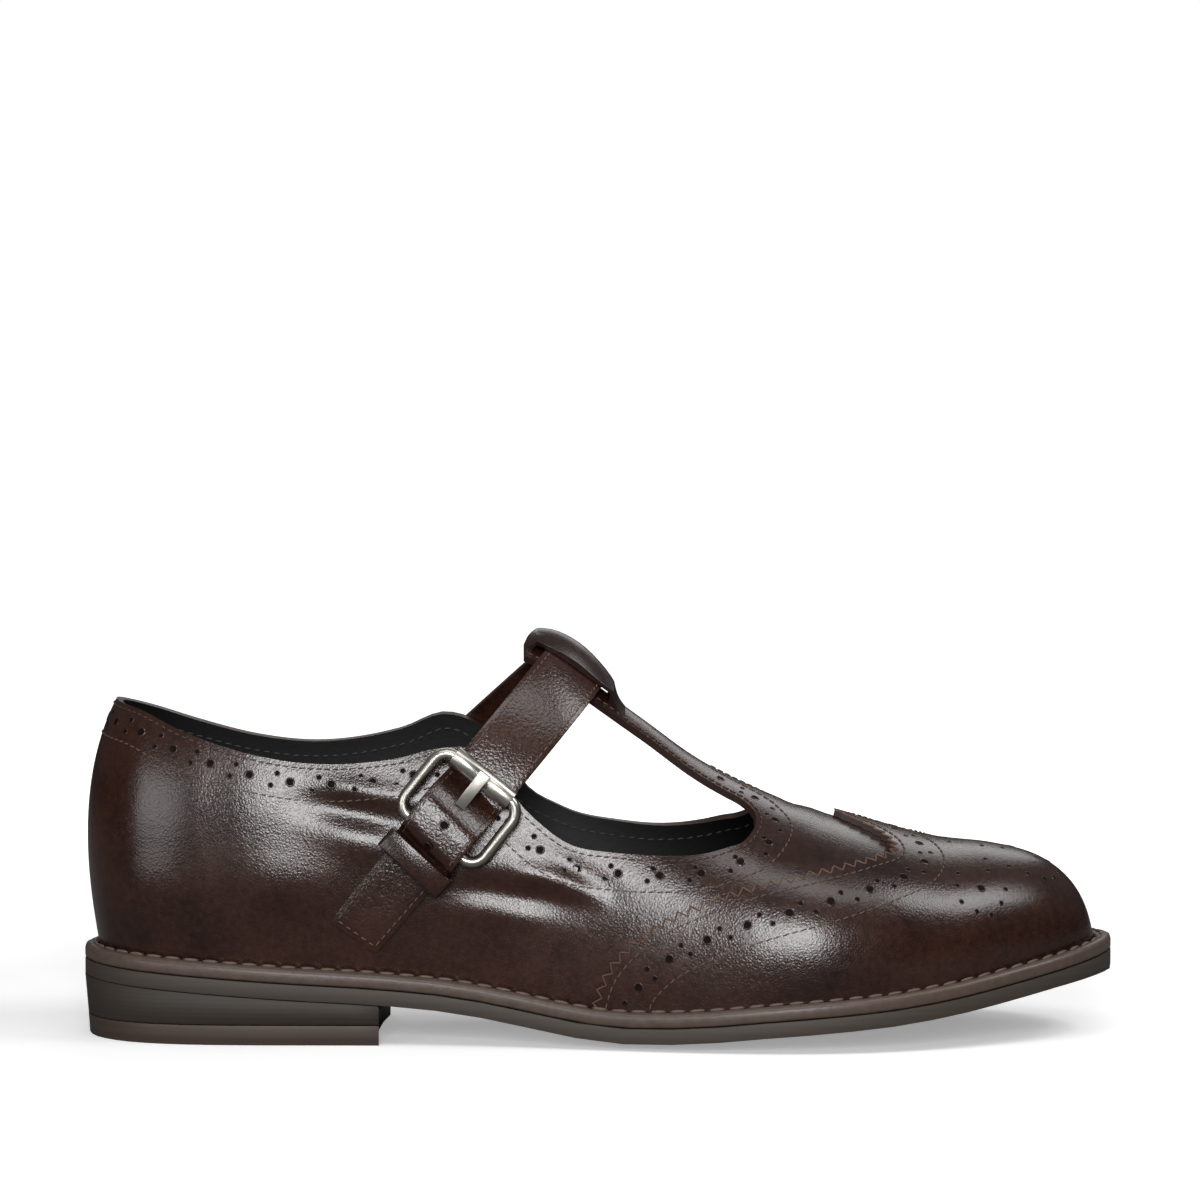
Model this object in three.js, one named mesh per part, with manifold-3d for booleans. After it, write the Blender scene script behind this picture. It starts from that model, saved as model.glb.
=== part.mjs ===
// A wing-cap brogue T-bar shoe for the right foot, in millimetres.
// +X points to the toe, +Y to the inner side of the foot and +Z up.
// The origin is the middle of the heel's floor face.
import * as THREE from 'three';
import { mergeVertices } from 'three/addons/utils/BufferGeometryUtils.js';
import Module from 'manifold-3d';

const wasm = await Module();
wasm.setup();

const OUTER = -1;
const INNER = 1;
const GAP = 0.3;

// The last, on which the upper is drawn
const LAST_LENGTH = 256.9;
const FEATHER_HALF_WIDTH = 38.8;
const INSTEP_RISE = 93.5;
const BELLY = 6.4;
const TOE_LEAN = 4.0;
const HEEL_FAN = 24.0;
const BELLY_GAIN = 2.6;

// Clearances over the upper, wide enough for the facets of both curved sheets
const STRAP_GAP = 0.5;
const CAP_GAP = 0.6;

// Thicknesses
const WALL = 1.9;
const CAP_THICK = 1.1;
const WELT_THICK = 3.7;
const OUTSOLE_THICK = 3.8;
const INSOLE_THICK = 2.4;
const TOP_LIFT_THICK = 5.0;
const STRAP_THICK = 1.8;
const BASE_THICK = 1.3;
const KEEPER_THICK = 1.2;
const LOOP_THICK = 1.7;

// How far the sole stands out past the upper
const WELT_REACH_HEEL = 4.4;
const WELT_REACH_SIDE = 4.8;
const WELT_REACH_TOE = 6.2;
const WELT_CHAMFER = 0.9;

// Heel and floor
const SEAT_HEIGHT = 19.4;
const CROWN = 2.0;
const FLAT_SHARE = 0.35;
const HEEL_LENGTH = 78.0;
const HEEL_TAPER = 1.2;
const BREAST_HOLLOW = 1.5;

// Straps and buckle
const STRAP_WIDTH = 17.0;
const BASE_WIDTH = 15.4;
const BASE_END_WIDTH = 14.2;
const WIRE = 3.0;
const ROLLER_RADIUS = 2.6;
const ROLLER_LENGTH = 18.4;
const PRONG_WIDTH = 2.8;
const PRONG_THICK = 1.6;
const FRAME_CORNER = 4.0;
const KEEPER_BAND = 5.6;
const HOLE_RADIUS = 1.1;

// Where each thing lies along the instep strap, measured down from the ridge
const ROLLER_AT = 38.3;
const HOLE_AT = 46.5;
const PIVOT_AT = 56.5;
const KEEPER_AT = 64.2;
const TAIL_END = 67.6;
const BASE_END = 89.5;
const STITCHED_END = 76.0;
const FREE_HOLES = [52.6, 59.0];

// Sections of the last from heel to toe. along is a share of the last's length. half and lean are
// shares of the feather line's greatest half width, rise is a share of the instep's rise, and the
// bellies are shares of the heel's belly. peak narrows the section towards the ridge, and a full
// under one squares its shoulder.
const SECTIONS = [
  { along: 0.00, half: 0.000, lean: 0.000, rise: 0.920, peak: 0.00, outer: 1.00, inner: 1.00, full: 1.00 },
  { along: 0.02, half: 0.384, lean: 0.000, rise: 0.920, peak: 0.00, outer: 1.00, inner: 1.00, full: 1.00 },
  { along: 0.05, half: 0.541, lean: 0.000, rise: 0.925, peak: 0.00, outer: 1.00, inner: 1.00, full: 1.00 },
  { along: 0.10, half: 0.629, lean: -0.005, rise: 0.941, peak: 0.00, outer: 1.00, inner: 1.00, full: 1.00 },
  { along: 0.16, half: 0.649, lean: -0.013, rise: 0.963, peak: 0.00, outer: 1.00, inner: 1.03, full: 1.00 },
  { along: 0.22, half: 0.639, lean: -0.026, rise: 0.979, peak: 0.02, outer: 0.98, inner: 1.09, full: 1.00 },
  { along: 0.30, half: 0.613, lean: -0.064, rise: 0.995, peak: 0.05, outer: 0.97, inner: 1.25, full: 0.98 },
  { along: 0.40, half: 0.626, lean: -0.111, rise: 1.000, peak: 0.15, outer: 0.97, inner: 1.41, full: 0.95 },
  { along: 0.45, half: 0.662, lean: -0.124, rise: 0.973, peak: 0.22, outer: 0.97, inner: 1.41, full: 0.94 },
  { along: 0.50, half: 0.716, lean: -0.129, rise: 0.894, peak: 0.25, outer: 0.94, inner: 1.31, full: 0.93 },
  { along: 0.55, half: 0.791, lean: -0.124, rise: 0.798, peak: 0.25, outer: 0.88, inner: 1.16, full: 0.92 },
  { along: 0.60, half: 0.869, lean: -0.108, rise: 0.692, peak: 0.20, outer: 0.78, inner: 0.97, full: 0.91 },
  { along: 0.66, half: 0.954, lean: -0.082, rise: 0.590, peak: 0.10, outer: 0.69, inner: 0.81, full: 0.90 },
  { along: 0.72, half: 1.000, lean: -0.049, rise: 0.513, peak: 0.00, outer: 0.59, inner: 0.66, full: 0.88 },
  { along: 0.78, half: 0.985, lean: -0.013, rise: 0.451, peak: -0.04, outer: 0.50, inner: 0.53, full: 0.86 },
  { along: 0.84, half: 0.892, lean: 0.021, rise: 0.386, peak: -0.06, outer: 0.41, inner: 0.44, full: 0.85 },
  { along: 0.90, half: 0.722, lean: 0.052, rise: 0.337, peak: -0.06, outer: 0.31, inner: 0.34, full: 0.85 },
  { along: 0.95, half: 0.531, lean: 0.077, rise: 0.272, peak: -0.04, outer: 0.22, inner: 0.23, full: 0.86 },
  { along: 0.98, half: 0.345, lean: 0.093, rise: 0.188, peak: -0.02, outer: 0.14, inner: 0.14, full: 0.88 },
  { along: 1.00, half: 0.000, lean: 0.103, rise: 0.000, peak: 0.00, outer: 0.00, inner: 0.00, full: 0.90 },
];

// The seam between outsole and welt, seen from the side: height as a share of the seat's height
const SEAM = [
  { along: 0.00, height: 1.000 },
  { along: 0.10, height: 0.902 },
  { along: 0.20, height: 0.804 },
  { along: 0.30, height: 0.722 },
  { along: 0.36, height: 0.644 },
  { along: 0.40, height: 0.557 },
  { along: 0.44, height: 0.448 },
  { along: 0.48, height: 0.345 },
  { along: 0.51, height: 0.296 },
  { along: 0.55, height: 0.289 },
  { along: 0.60, height: 0.325 },
  { along: 0.66, height: 0.407 },
  { along: 0.72, height: 0.474 },
  { along: 0.78, height: 0.552 },
  { along: 0.84, height: 0.670 },
  { along: 0.90, height: 0.825 },
  { along: 0.96, height: 0.985 },
  { along: 1.00, height: 1.093 },
];

// The topline of each quarter and the edge of the T-bar, as degrees up the rib at each place
const TOPLINE = [
  { along: 0.000, outer: 51.5, inner: 51.5, bar: 72.0 },
  { along: 0.040, outer: 49.6, inner: 48.8, bar: 72.0 },
  { along: 0.090, outer: 44.6, inner: 44.8, bar: 72.0 },
  { along: 0.150, outer: 40.0, inner: 41.0, bar: 72.0 },
  { along: 0.220, outer: 37.6, inner: 39.7, bar: 72.0 },
  { along: 0.300, outer: 38.3, inner: 42.4, bar: 72.0 },
  { along: 0.345, outer: 40.6, inner: 46.2, bar: 72.0 },
  { along: 0.385, outer: 40.8, inner: 43.6, bar: 72.0 },
  { along: 0.430, outer: 31.8, inner: 32.8, bar: 72.0 },
  { along: 0.465, outer: 28.6, inner: 31.4, bar: 71.8 },
  { along: 0.520, outer: 30.8, inner: 33.9, bar: 72.4 },
  { along: 0.570, outer: 34.9, inner: 38.2, bar: 72.0 },
  { along: 0.610, outer: 40.2, inner: 45.0, bar: 70.4 },
  { along: 0.640, outer: 46.6, inner: 52.0, bar: 69.2 },
  { along: 0.660, outer: 51.0, inner: 56.0, bar: 68.4 },
];
const THROAT = 0.660;
const THROAT_MIDDLE = 61.0;
const THROAT_ROUND = 0.020;
const BAR_BACK = 0.430;

// The wing cap's pinked edge: how far along it lies at each number of degrees up the rib
const WING = [
  { up: 0, along: 0.494 },
  { up: 8, along: 0.510 },
  { up: 14, along: 0.536 },
  { up: 20, along: 0.570 },
  { up: 26, along: 0.609 },
  { up: 32, along: 0.649 },
  { up: 39, along: 0.697 },
  { up: 46, along: 0.739 },
  { up: 52, along: 0.767 },
  { up: 57, along: 0.785 },
  { up: 62, along: 0.792 },
  { up: 67, along: 0.791 },
  { up: 73, along: 0.783 },
  { up: 79, along: 0.766 },
  { up: 84, along: 0.749 },
  { up: 90, along: 0.738 },
];
const CAP_COLUMNS = 12;
const CAP_ROWS = 19;
const PINKS_PER_COLUMN = 2;
const PINK_DEPTH = 0.006;

// The folded loop at the T-bar's top: millimetres back from its front foot, as shares of its
// length, and how high its outside stands over the bar as a share of its height
const LOOP_FRONT = 0.530;
const LOOP_HEIGHT = 6.1;
const LOOP = [
  { share: 0.00, top: 0.00, hollow: false },
  { share: 0.08, top: 0.12, hollow: false },
  { share: 0.14, top: 0.34, hollow: false },
  { share: 0.18, top: 0.52, hollow: false },
  { share: 0.19, top: 0.56, hollow: true },
  { share: 0.30, top: 0.80, hollow: true },
  { share: 0.48, top: 0.97, hollow: true },
  { share: 0.60, top: 1.00, hollow: true },
  { share: 0.73, top: 0.95, hollow: true },
  { share: 0.84, top: 0.82, hollow: true },
  { share: 0.935, top: 0.62, hollow: true },
  { share: 0.945, top: 0.58, hollow: false },
  { share: 0.975, top: 0.38, hollow: false },
  { share: 1.00, top: 0.10, hollow: false },
];

// The insole lies inside the upper's wall
const INSOLE_INSET = WALL + 2 * GAP;

// Where the strap's middle crosses the ridge, and how steeply it runs down each side
const STRAP_RIDGE = 0.4850;
const STRAP_OVER_RIDGE = 3.2;
const STRAP_SLOPE_OUTER = 50.0;
const STRAP_SLOPE_INNER = 42.0;
const STRAP_CENTRE_DEPTH = 35.0;

const radians = THREE.MathUtils.degToRad;
const mix = THREE.MathUtils.lerp;

// A smooth curve through one column of a table. A steady one never passes its rows.
function follow(table, key, column, at, steady = false) {
  let i = 0;
  while (i < table.length - 2 && at >= table[i + 1][key]) i += 1;
  const slope = (k) => {
    const a = table[Math.max(k - 1, 0)];
    const b = table[k];
    const c = table[Math.min(k + 1, table.length - 1)];
    if (steady && (a === b || b === c)) return 0;
    if (a === b) return (c[column] - b[column]) / (c[key] - b[key]);
    if (b === c) return (b[column] - a[column]) / (b[key] - a[key]);
    const before = b[key] - a[key];
    const after = c[key] - b[key];
    const left = (b[column] - a[column]) / before;
    const right = (c[column] - b[column]) / after;
    if (steady) return left * right > 0 ? (2 * left * right) / (left + right) : 0;
    return (left * after + right * before) / (before + after);
  };
  const span = table[i + 1][key] - table[i][key];
  const t = (at - table[i][key]) / span;
  const t2 = t * t;
  const t3 = t2 * t;
  return (2 * t3 - 3 * t2 + 1) * table[i][column]
    + (t3 - 2 * t2 + t) * span * slope(i)
    + (3 * t2 - 2 * t3) * table[i + 1][column]
    + (t3 - t2) * span * slope(i + 1);
}

// Stations turn a share of the length into an angle, so that both ends of an outline come out round
const turnOf = (along) => Math.acos(1 - 2 * Math.min(Math.max(along, 0), 1));
const alongOf = (turn) => (1 - Math.cos(turn)) / 2;
const SECTION_TURNS = SECTIONS.map((row) => ({ ...row, turn: turnOf(row.along) }));
const section = (column, turn) => follow(SECTION_TURNS, 'turn', column, turn);

const SOLE_LENGTH = WELT_REACH_HEEL + LAST_LENGTH + WELT_REACH_TOE;
const seamHeight = (x) => (
  SEAT_HEIGHT * follow(SEAM, 'along', 'height', Math.min(Math.max(x / SOLE_LENGTH, 0), 1)));

// The feather line, where the upper turns in under the foot
function feather(turn, side) {
  const x = WELT_REACH_HEEL + LAST_LENGTH * alongOf(turn);
  const y = FEATHER_HALF_WIDTH * (section('lean', turn) + side * section('half', turn));
  return new THREE.Vector2(x, y);
}

// A rib rises from the feather line to the ridge. Ribs fan round the heel and lie square ahead of it.
function rib(turn, side) {
  const foot = feather(turn, side);
  const past = foot.x - WELT_REACH_HEEL;
  const fan = Math.min(past / (2 * HEEL_FAN), 1);
  const x = fan < 1 ? WELT_REACH_HEEL + HEEL_FAN * (1 + fan * fan) : foot.x;
  const y = TOE_LEAN * (past / LAST_LENGTH) ** 2;
  const spine = new THREE.Vector2(x, y);
  const reach = foot.clone().sub(spine);
  const half = reach.length();
  const away = half > 1e-6 ? reach.divideScalar(half) : new THREE.Vector2(0, side);
  return { spine, away, half, base: seamHeight(foot.x) + GAP };
}

// A point of the last's surface: up is the angle up the rib, a quarter turn at the ridge
function lastPoint(turn, up, side) {
  const { spine, away, half, base } = rib(turn, side);
  const s = Math.sin(up);
  const c = Math.cos(up);
  const belly = BELLY * section(side === OUTER ? 'outer' : 'inner', turn);
  const out = half * c * (1 - section('peak', turn) * s) + belly * BELLY_GAIN * s * c * c;
  const rise = INSTEP_RISE * section('rise', turn) * Math.abs(s) ** section('full', turn);
  return new THREE.Vector3(spine.x + away.x * out, spine.y + away.y * out, base + rise);
}

function lastNormal(turn, up, side) {
  if (turn >= Math.PI) return new THREE.Vector3(1, 0, 0);
  const step = 1e-3;
  const t = Math.min(Math.max(turn, step), Math.PI - 3 * step);
  const forward = lastPoint(t + step, up, side).sub(lastPoint(t - step, up, side));
  const upward = lastPoint(t, up + step, side).sub(lastPoint(t, Math.max(up - step, 1e-5), side));
  return forward.cross(upward).multiplyScalar(-side).normalize();
}

// The same point moved off the last by a distance along the surface's normal
const offLast = (turn, up, side, off) => (
  lastPoint(turn, up, side).addScaledVector(lastNormal(turn, up, side), off));

// The outline of the sole: the feather line moved out by the welt's reach
function weltReach(turn) {
  const along = alongOf(turn);
  const toe = THREE.MathUtils.smoothstep(along, 0.75, 1);
  const heel = 1 - THREE.MathUtils.smoothstep(along, 0, 0.2);
  return WELT_REACH_SIDE + toe * (WELT_REACH_TOE - WELT_REACH_SIDE)
    + heel * (WELT_REACH_HEEL - WELT_REACH_SIDE);
}

function outlineNormal(turn, side) {
  const step = 1e-3;
  const t = Math.min(Math.max(turn, step), Math.PI - step);
  const ahead = feather(t + step, side).sub(feather(t - step, side)).normalize();
  if (turn <= 0) return new THREE.Vector2(-1, 0);
  if (turn >= Math.PI) return new THREE.Vector2(1, 0);
  return new THREE.Vector2(-ahead.y, ahead.x).multiplyScalar(side);
}

const outlineOff = (turn, side, off) => (
  feather(turn, side).addScaledVector(outlineNormal(turn, side), off));

// The outline's sideways place at one distance along the shoe
function edgeAt(x, side, offAt) {
  let low = 0;
  let high = Math.PI;
  for (let i = 0; i < 40; i += 1) {
    const middle = (low + high) / 2;
    if (outlineOff(middle, side, offAt(middle)).x < x) low = middle;
    else high = middle;
  }
  return outlineOff((low + high) / 2, side, offAt((low + high) / 2)).y;
}

// Collects quads of a sheet with an outside and an inside, and closes them round every free edge
class Sheet {
  constructor() {
    this.outside = [];
    this.inside = [];
    this.faces = [];
    this.known = new Map();
  }

  corner({ out, back }) {
    const key = out.toArray().map((v) => v.toFixed(3)).join();
    if (!this.known.has(key)) {
      this.known.set(key, this.outside.length);
      this.outside.push(out);
      this.inside.push(back);
    }
    return this.known.get(key);
  }

  quad(a, b, c, d) {
    const ring = [a, b, c, d].map((p) => this.corner(p));
    const kept = ring.filter((v, i) => v !== ring[(i + 3) % 4]);
    for (let i = 1; i < kept.length - 1; i += 1) {
      const face = [kept[0], kept[i], kept[i + 1]];
      if (new Set(face).size === 3) this.faces.push(face);
    }
  }

  // Quads over a grid of corners, rows by columns, turned over where flip is true
  grid(rows, flip) {
    for (let i = 0; i < rows.length - 1; i += 1) {
      for (let j = 0; j < rows[i].length - 1; j += 1) {
        const ring = [rows[i][j], rows[i + 1][j], rows[i + 1][j + 1], rows[i][j + 1]];
        if (flip) ring.reverse();
        this.quad(...ring);
      }
    }
  }

  geometry() {
    const count = this.outside.length;
    const edges = new Set(this.faces.flatMap(([a, b, c]) => [`${a},${b}`, `${b},${c}`, `${c},${a}`]));
    const index = [];
    for (const [a, b, c] of this.faces) {
      index.push(a, b, c, count + c, count + b, count + a);
    }
    for (const edge of edges) {
      const [a, b] = edge.split(',').map(Number);
      if (!edges.has(`${b},${a}`)) index.push(a, count + a, b, b, count + a, count + b);
    }
    const geometry = new THREE.BufferGeometry();
    const places = [...this.outside, ...this.inside].flatMap((p) => p.toArray());
    geometry.setAttribute('position', new THREE.Float32BufferAttribute(places, 3));
    geometry.setIndex(index);
    return geometry;
  }
}

// A solid ring or bar lofted through closed sections with the same number of points
function loft(sections, closed) {
  const sides = sections[0].length;
  const places = sections.flat().flatMap((p) => p.toArray());
  const index = [];
  const last = closed ? sections.length : sections.length - 1;
  for (let i = 0; i < last; i += 1) {
    const next = (i + 1) % sections.length;
    for (let j = 0; j < sides; j += 1) {
      const k = (j + 1) % sides;
      index.push(i * sides + j, next * sides + j, next * sides + k);
      index.push(i * sides + j, next * sides + k, i * sides + k);
    }
  }
  if (!closed) {
    const end = (sections.length - 1) * sides;
    for (let j = 1; j < sides - 1; j += 1) {
      index.push(0, j, j + 1);
      index.push(end, end + j + 1, end + j);
    }
  }
  const geometry = new THREE.BufferGeometry();
  geometry.setAttribute('position', new THREE.Float32BufferAttribute(places, 3));
  geometry.setIndex(index);
  return facingOut(geometry);
}

// Turns a closed geometry's faces over where its volume comes out negative
function facingOut(geometry) {
  const place = geometry.attributes.position;
  const index = geometry.index.array;
  const a = new THREE.Vector3();
  const b = new THREE.Vector3();
  const c = new THREE.Vector3();
  let volume = 0;
  for (let i = 0; i < index.length; i += 3) {
    a.fromBufferAttribute(place, index[i]);
    b.fromBufferAttribute(place, index[i + 1]);
    c.fromBufferAttribute(place, index[i + 2]);
    volume += a.dot(b.cross(c));
  }
  if (volume < 0) {
    for (let i = 0; i < index.length; i += 3) {
      [index[i + 1], index[i + 2]] = [index[i + 2], index[i + 1]];
    }
  }
  return geometry;
}

function toSolid(geometry) {
  const bare = geometry.clone();
  bare.deleteAttribute('normal');
  bare.deleteAttribute('uv');
  const merged = mergeVertices(bare, 1e-3);
  return new wasm.Manifold(new wasm.Mesh({
    numProp: 3,
    vertProperties: new Float32Array(merged.attributes.position.array),
    triVerts: new Uint32Array(merged.index.array),
  }));
}

function toGeometry(solid) {
  const mesh = solid.getMesh();
  const places = new Float32Array(mesh.vertProperties);
  const geometry = new THREE.BufferGeometry();
  geometry.setAttribute('position', new THREE.BufferAttribute(places, 3));
  geometry.setIndex(new THREE.BufferAttribute(new Uint32Array(mesh.triVerts), 1));
  return geometry;
}

// Evenly spaced shares from one value to another, with both ends
const spread = (from, to, steps) => (
  Array.from({ length: steps + 1 }, (_, i) => mix(from, to, i / steps)));

// The topline and the T-bar's edge, which meet round the front of the side opening
function openingAt(turn, side) {
  const along = alongOf(turn);
  const nearEnd = Math.max(along - (THROAT - THROAT_ROUND), 0) / THROAT_ROUND;
  const close = 1 - Math.sqrt(Math.max(1 - nearEnd * nearEnd, 0));
  const below = follow(TOPLINE, 'along', side === OUTER ? 'outer' : 'inner', along);
  const above = follow(TOPLINE, 'along', 'bar', along);
  return {
    below: radians(mix(below, THROAT_MIDDLE, close)),
    above: radians(mix(above, THROAT_MIDDLE, close)),
  };
}

// Lets points at the feather line stand on the outsole's top
function seat(...points) {
  for (const p of points) p.z = seamHeight(p.x) + GAP;
}

function wallCorner(turn, up, side) {
  const out = lastPoint(turn, up, side);
  const back = offLast(turn, up, side, -WALL);
  if (up === 0 || turn >= Math.PI) seat(out, back);
  return { out, back };
}

// Ring stations: round the heel and quarters, along the side opening, then over the vamp to the toe
const throatTurn = turnOf(THROAT);
const barTurn = turnOf(BAR_BACK);
const quarterTurns = spread(0, barTurn, 15);
const openTurns = spread(0, Math.PI / 2, 10).map((a) => mix(barTurn, throatTurn, Math.sin(a)));
const vampTurns = spread(0, 1, 18).map((t) => mix(throatTurn, Math.PI, t));
const QUARTER_COLUMNS = 8;
const BAR_COLUMNS = 3;

function upperShell() {
  const sheet = new Sheet();
  for (const side of [OUTER, INNER]) {
    const flip = side === INNER;
    const strip = (turns, from, to, steps) => turns.map((turn) => (
      spread(from(turn), to(turn), steps).map((up) => wallCorner(turn, up, side))));
    const below = (turn) => openingAt(turn, side).below;
    const above = (turn) => openingAt(turn, side).above;
    const foot = () => 0;
    const ridge = () => Math.PI / 2;
    const join = () => radians(THROAT_MIDDLE);
    sheet.grid(strip([...quarterTurns, ...openTurns.slice(1)], foot, below, QUARTER_COLUMNS), flip);
    sheet.grid(strip(openTurns, above, ridge, BAR_COLUMNS), flip);
    sheet.grid(strip(vampTurns, foot, join, QUARTER_COLUMNS), flip);
    sheet.grid(strip(vampTurns, join, ridge, BAR_COLUMNS), flip);
  }
  return facingOut(sheet.geometry());
}

// The T-bar's top folds back over the strap
function barLoop() {
  const sheet = new Sheet();
  const rows = LOOP.map(({ share, top, hollow }) => {
    const turn = turnOf(mix(LOOP_FRONT, BAR_BACK, share));
    const edge = openingAt(turn, OUTER).above + radians(1);
    const ups = spread(edge, Math.PI - edge, 6);
    return ups.map((up) => {
      const side = up <= Math.PI / 2 ? OUTER : INNER;
      const angle = up <= Math.PI / 2 ? up : Math.PI - up;
      const height = top * LOOP_HEIGHT;
      const overStrap = STRAP_GAP + STRAP_THICK + GAP;
      const under = hollow ? Math.max(height - LOOP_THICK, overStrap) : -WALL / 2;
      return {
        out: offLast(turn, angle, side, Math.max(height, under + LOOP_THICK * 0.6)),
        back: offLast(turn, angle, side, under),
      };
    });
  });
  sheet.grid(rows, true);
  return facingOut(sheet.geometry());
}

const upperGeometry = () => toGeometry(toSolid(upperShell()).add(toSolid(barLoop())));

// The wing cap lies on the vamp, from its pinked edge to the toe
function wingCapGeometry() {
  const sheet = new Sheet();
  const edgeTurn = (up, pink) => turnOf(follow(WING, 'up', 'along', up) + pink * PINK_DEPTH);
  for (const side of [OUTER, INNER]) {
    const corner = (turn, up) => {
      const out = offLast(turn, radians(up), side, CAP_GAP + CAP_THICK);
      const back = offLast(turn, radians(up), side, CAP_GAP);
      if (up === 0 || turn >= Math.PI) seat(out, back);
      return { out, back };
    };
    const face = (points) => sheet.quad(...(side === OUTER ? points : points.reverse()));
    const columns = spread(0, 90, CAP_COLUMNS).map((up) => {
      const start = edgeTurn(up, 2);
      return spread(start, Math.PI, CAP_ROWS).map((turn) => corner(turn, up));
    });
    sheet.grid(columns, side === INNER);
    for (let k = 0; k < CAP_COLUMNS; k += 1) {
      const low = 90 * k / CAP_COLUMNS;
      const step = 90 / CAP_COLUMNS / PINKS_PER_COLUMN;
      const [left, right] = [columns[k][0], columns[k + 1][0]];
      const valley = (i) => corner(edgeTurn(low + i * step, 1), low + i * step);
      const tip = (i) => corner(edgeTurn(low + (i + 0.5) * step, 0), low + (i + 0.5) * step);
      face([valley(0), tip(0), left, left]);
      face([tip(0), valley(1), left, left]);
      face([valley(1), right, left, left]);
      face([valley(1), tip(1), right, right]);
      face([tip(1), valley(2), right, right]);
    }
  }
  return facingOut(sheet.geometry());
}

// A sheet of columns across the shoe at each place along it, between the two edges of an outline
function slab({ from, to, rows, columns, offAt, corner }) {
  const sheet = new Sheet();
  const lines = spread(0, Math.PI, rows).map((a) => {
    const x = mix(from, to, alongOf(a));
    const left = edgeAt(x, OUTER, offAt);
    const right = edgeAt(x, INNER, offAt);
    return spread(-1, 1, columns).map((across) => (
      corner(x, mix(left, right, (across + 1) / 2), across)));
  });
  sheet.grid(lines, true);
  return facingOut(sheet.geometry());
}

// The outsole's underside: crowned across the forefoot, with a flat spot where it meets the floor
function outsoleUnder(x, across) {
  const forefoot = THREE.MathUtils.smoothstep(x / SOLE_LENGTH, 0.38, 0.48);
  const lift = Math.max((Math.abs(across) - FLAT_SHARE) / (1 - FLAT_SHARE), 0) ** 2;
  return Math.max(seamHeight(x) - OUTSOLE_THICK - CROWN * forefoot * (1 - lift), 0);
}

const outsoleGeometry = () => slab({
  from: 0,
  to: SOLE_LENGTH,
  rows: 35,
  columns: 6,
  offAt: weltReach,
  corner: (x, y, across) => ({
    out: new THREE.Vector3(x, y, seamHeight(x)),
    back: new THREE.Vector3(x, y, outsoleUnder(x, across)),
  }),
});

const insoleGeometry = () => slab({
  from: WELT_REACH_HEEL + INSOLE_INSET,
  to: SOLE_LENGTH - WELT_REACH_TOE - INSOLE_INSET,
  rows: 26,
  columns: 2,
  offAt: () => -INSOLE_INSET,
  corner: (x, y) => ({
    out: new THREE.Vector3(x, y, seamHeight(x) + GAP + INSOLE_THICK),
    back: new THREE.Vector3(x, y, seamHeight(x) + GAP),
  }),
});

// A layer of the heel, tapering a little to the floor, with a hollow breast
function heelLayer(topAt, bottomAt, topTaper, bottomTaper) {
  const sheet = new Sheet();
  const ring = (a, taper) => {
    const share = 1 - Math.cos(a);
    const x = mix(taper, HEEL_LENGTH, share);
    const offAt = (turn) => weltReach(turn) - taper;
    const left = edgeAt(x, OUTER, offAt);
    const right = edgeAt(x, INNER, offAt);
    return spread(-1, 1, 4).map((across) => {
      const back = BREAST_HOLLOW * (1 - across * across) * share * share;
      return new THREE.Vector3(x - back, mix(left, right, (across + 1) / 2), 0);
    });
  };
  const rows = spread(0, Math.PI / 2, 16).map((a) => {
    const upper = ring(a, topTaper);
    const lower = ring(a, bottomTaper);
    return upper.map((p, j) => ({ out: p.setZ(topAt(p.x)), back: lower[j].setZ(bottomAt) }));
  });
  sheet.grid(rows, true);
  return facingOut(sheet.geometry());
}

const outsoleHeelUnder = (x) => seamHeight(x) - OUTSOLE_THICK - GAP;
const heelGeometry = () => (
  heelLayer(outsoleHeelUnder, TOP_LIFT_THICK + GAP, 0, HEEL_TAPER * 0.7));
const topLiftGeometry = () => (
  heelLayer(() => TOP_LIFT_THICK, 0, HEEL_TAPER * 0.7, HEEL_TAPER));

// How far the upper's wall stands past the feather line at the welt's top
function wallBulge(turn, side) {
  const rise = Math.max(INSTEP_RISE * section('rise', turn), WELT_THICK * 2);
  const s = (WELT_THICK / rise) ** (1 / section('full', turn));
  return BELLY * section(side === OUTER ? 'outer' : 'inner', turn) * BELLY_GAIN * s;
}

// The welt runs right round on the outsole, outside the upper and the wing cap
function weltGeometry() {
  const ring = (turn, side) => {
    const wing = WING[0].along;
    const capped = THREE.MathUtils.smoothstep(alongOf(turn), wing - 0.03, wing - 0.01);
    const inner = GAP + wallBulge(turn, side) + capped * (CAP_THICK + CAP_GAP);
    const outer = weltReach(turn);
    const at = (off, up) => {
      const flat = outlineOff(turn, side, off);
      return new THREE.Vector3(flat.x, flat.y, seamHeight(flat.x) + GAP + up);
    };
    return [
      at(outer, 0),
      at(outer, WELT_THICK - WELT_CHAMFER),
      at(outer - WELT_CHAMFER, WELT_THICK),
      at(inner, WELT_THICK),
      at(inner, 0),
    ];
  };
  const turns = spread(0, Math.PI, 40);
  const outerHalf = turns.map((turn) => ring(turn, OUTER));
  const innerHalf = turns.slice(1, -1).reverse().map((turn) => ring(turn, INNER));
  return loft([...outerHalf, ...innerHalf], true);
}

// Half of the last's width at one distance along and one height, for straps that cross it
function halfWidthAt(x, z, side) {
  const turn = turnOf((x - WELT_REACH_HEEL) / LAST_LENGTH);
  const { half, base } = rib(turn, side);
  const rise = INSTEP_RISE * section('rise', turn);
  const s = Math.max((z - base) / rise, 0) ** (1 / section('full', turn));
  if (s >= 1) return -1;
  const c = Math.sqrt(1 - s * s);
  const belly = BELLY * section(side === OUTER ? 'outer' : 'inner', turn);
  return half * c * (1 - section('peak', turn) * s) + belly * BELLY_GAIN * s * c * c;
}

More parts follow.
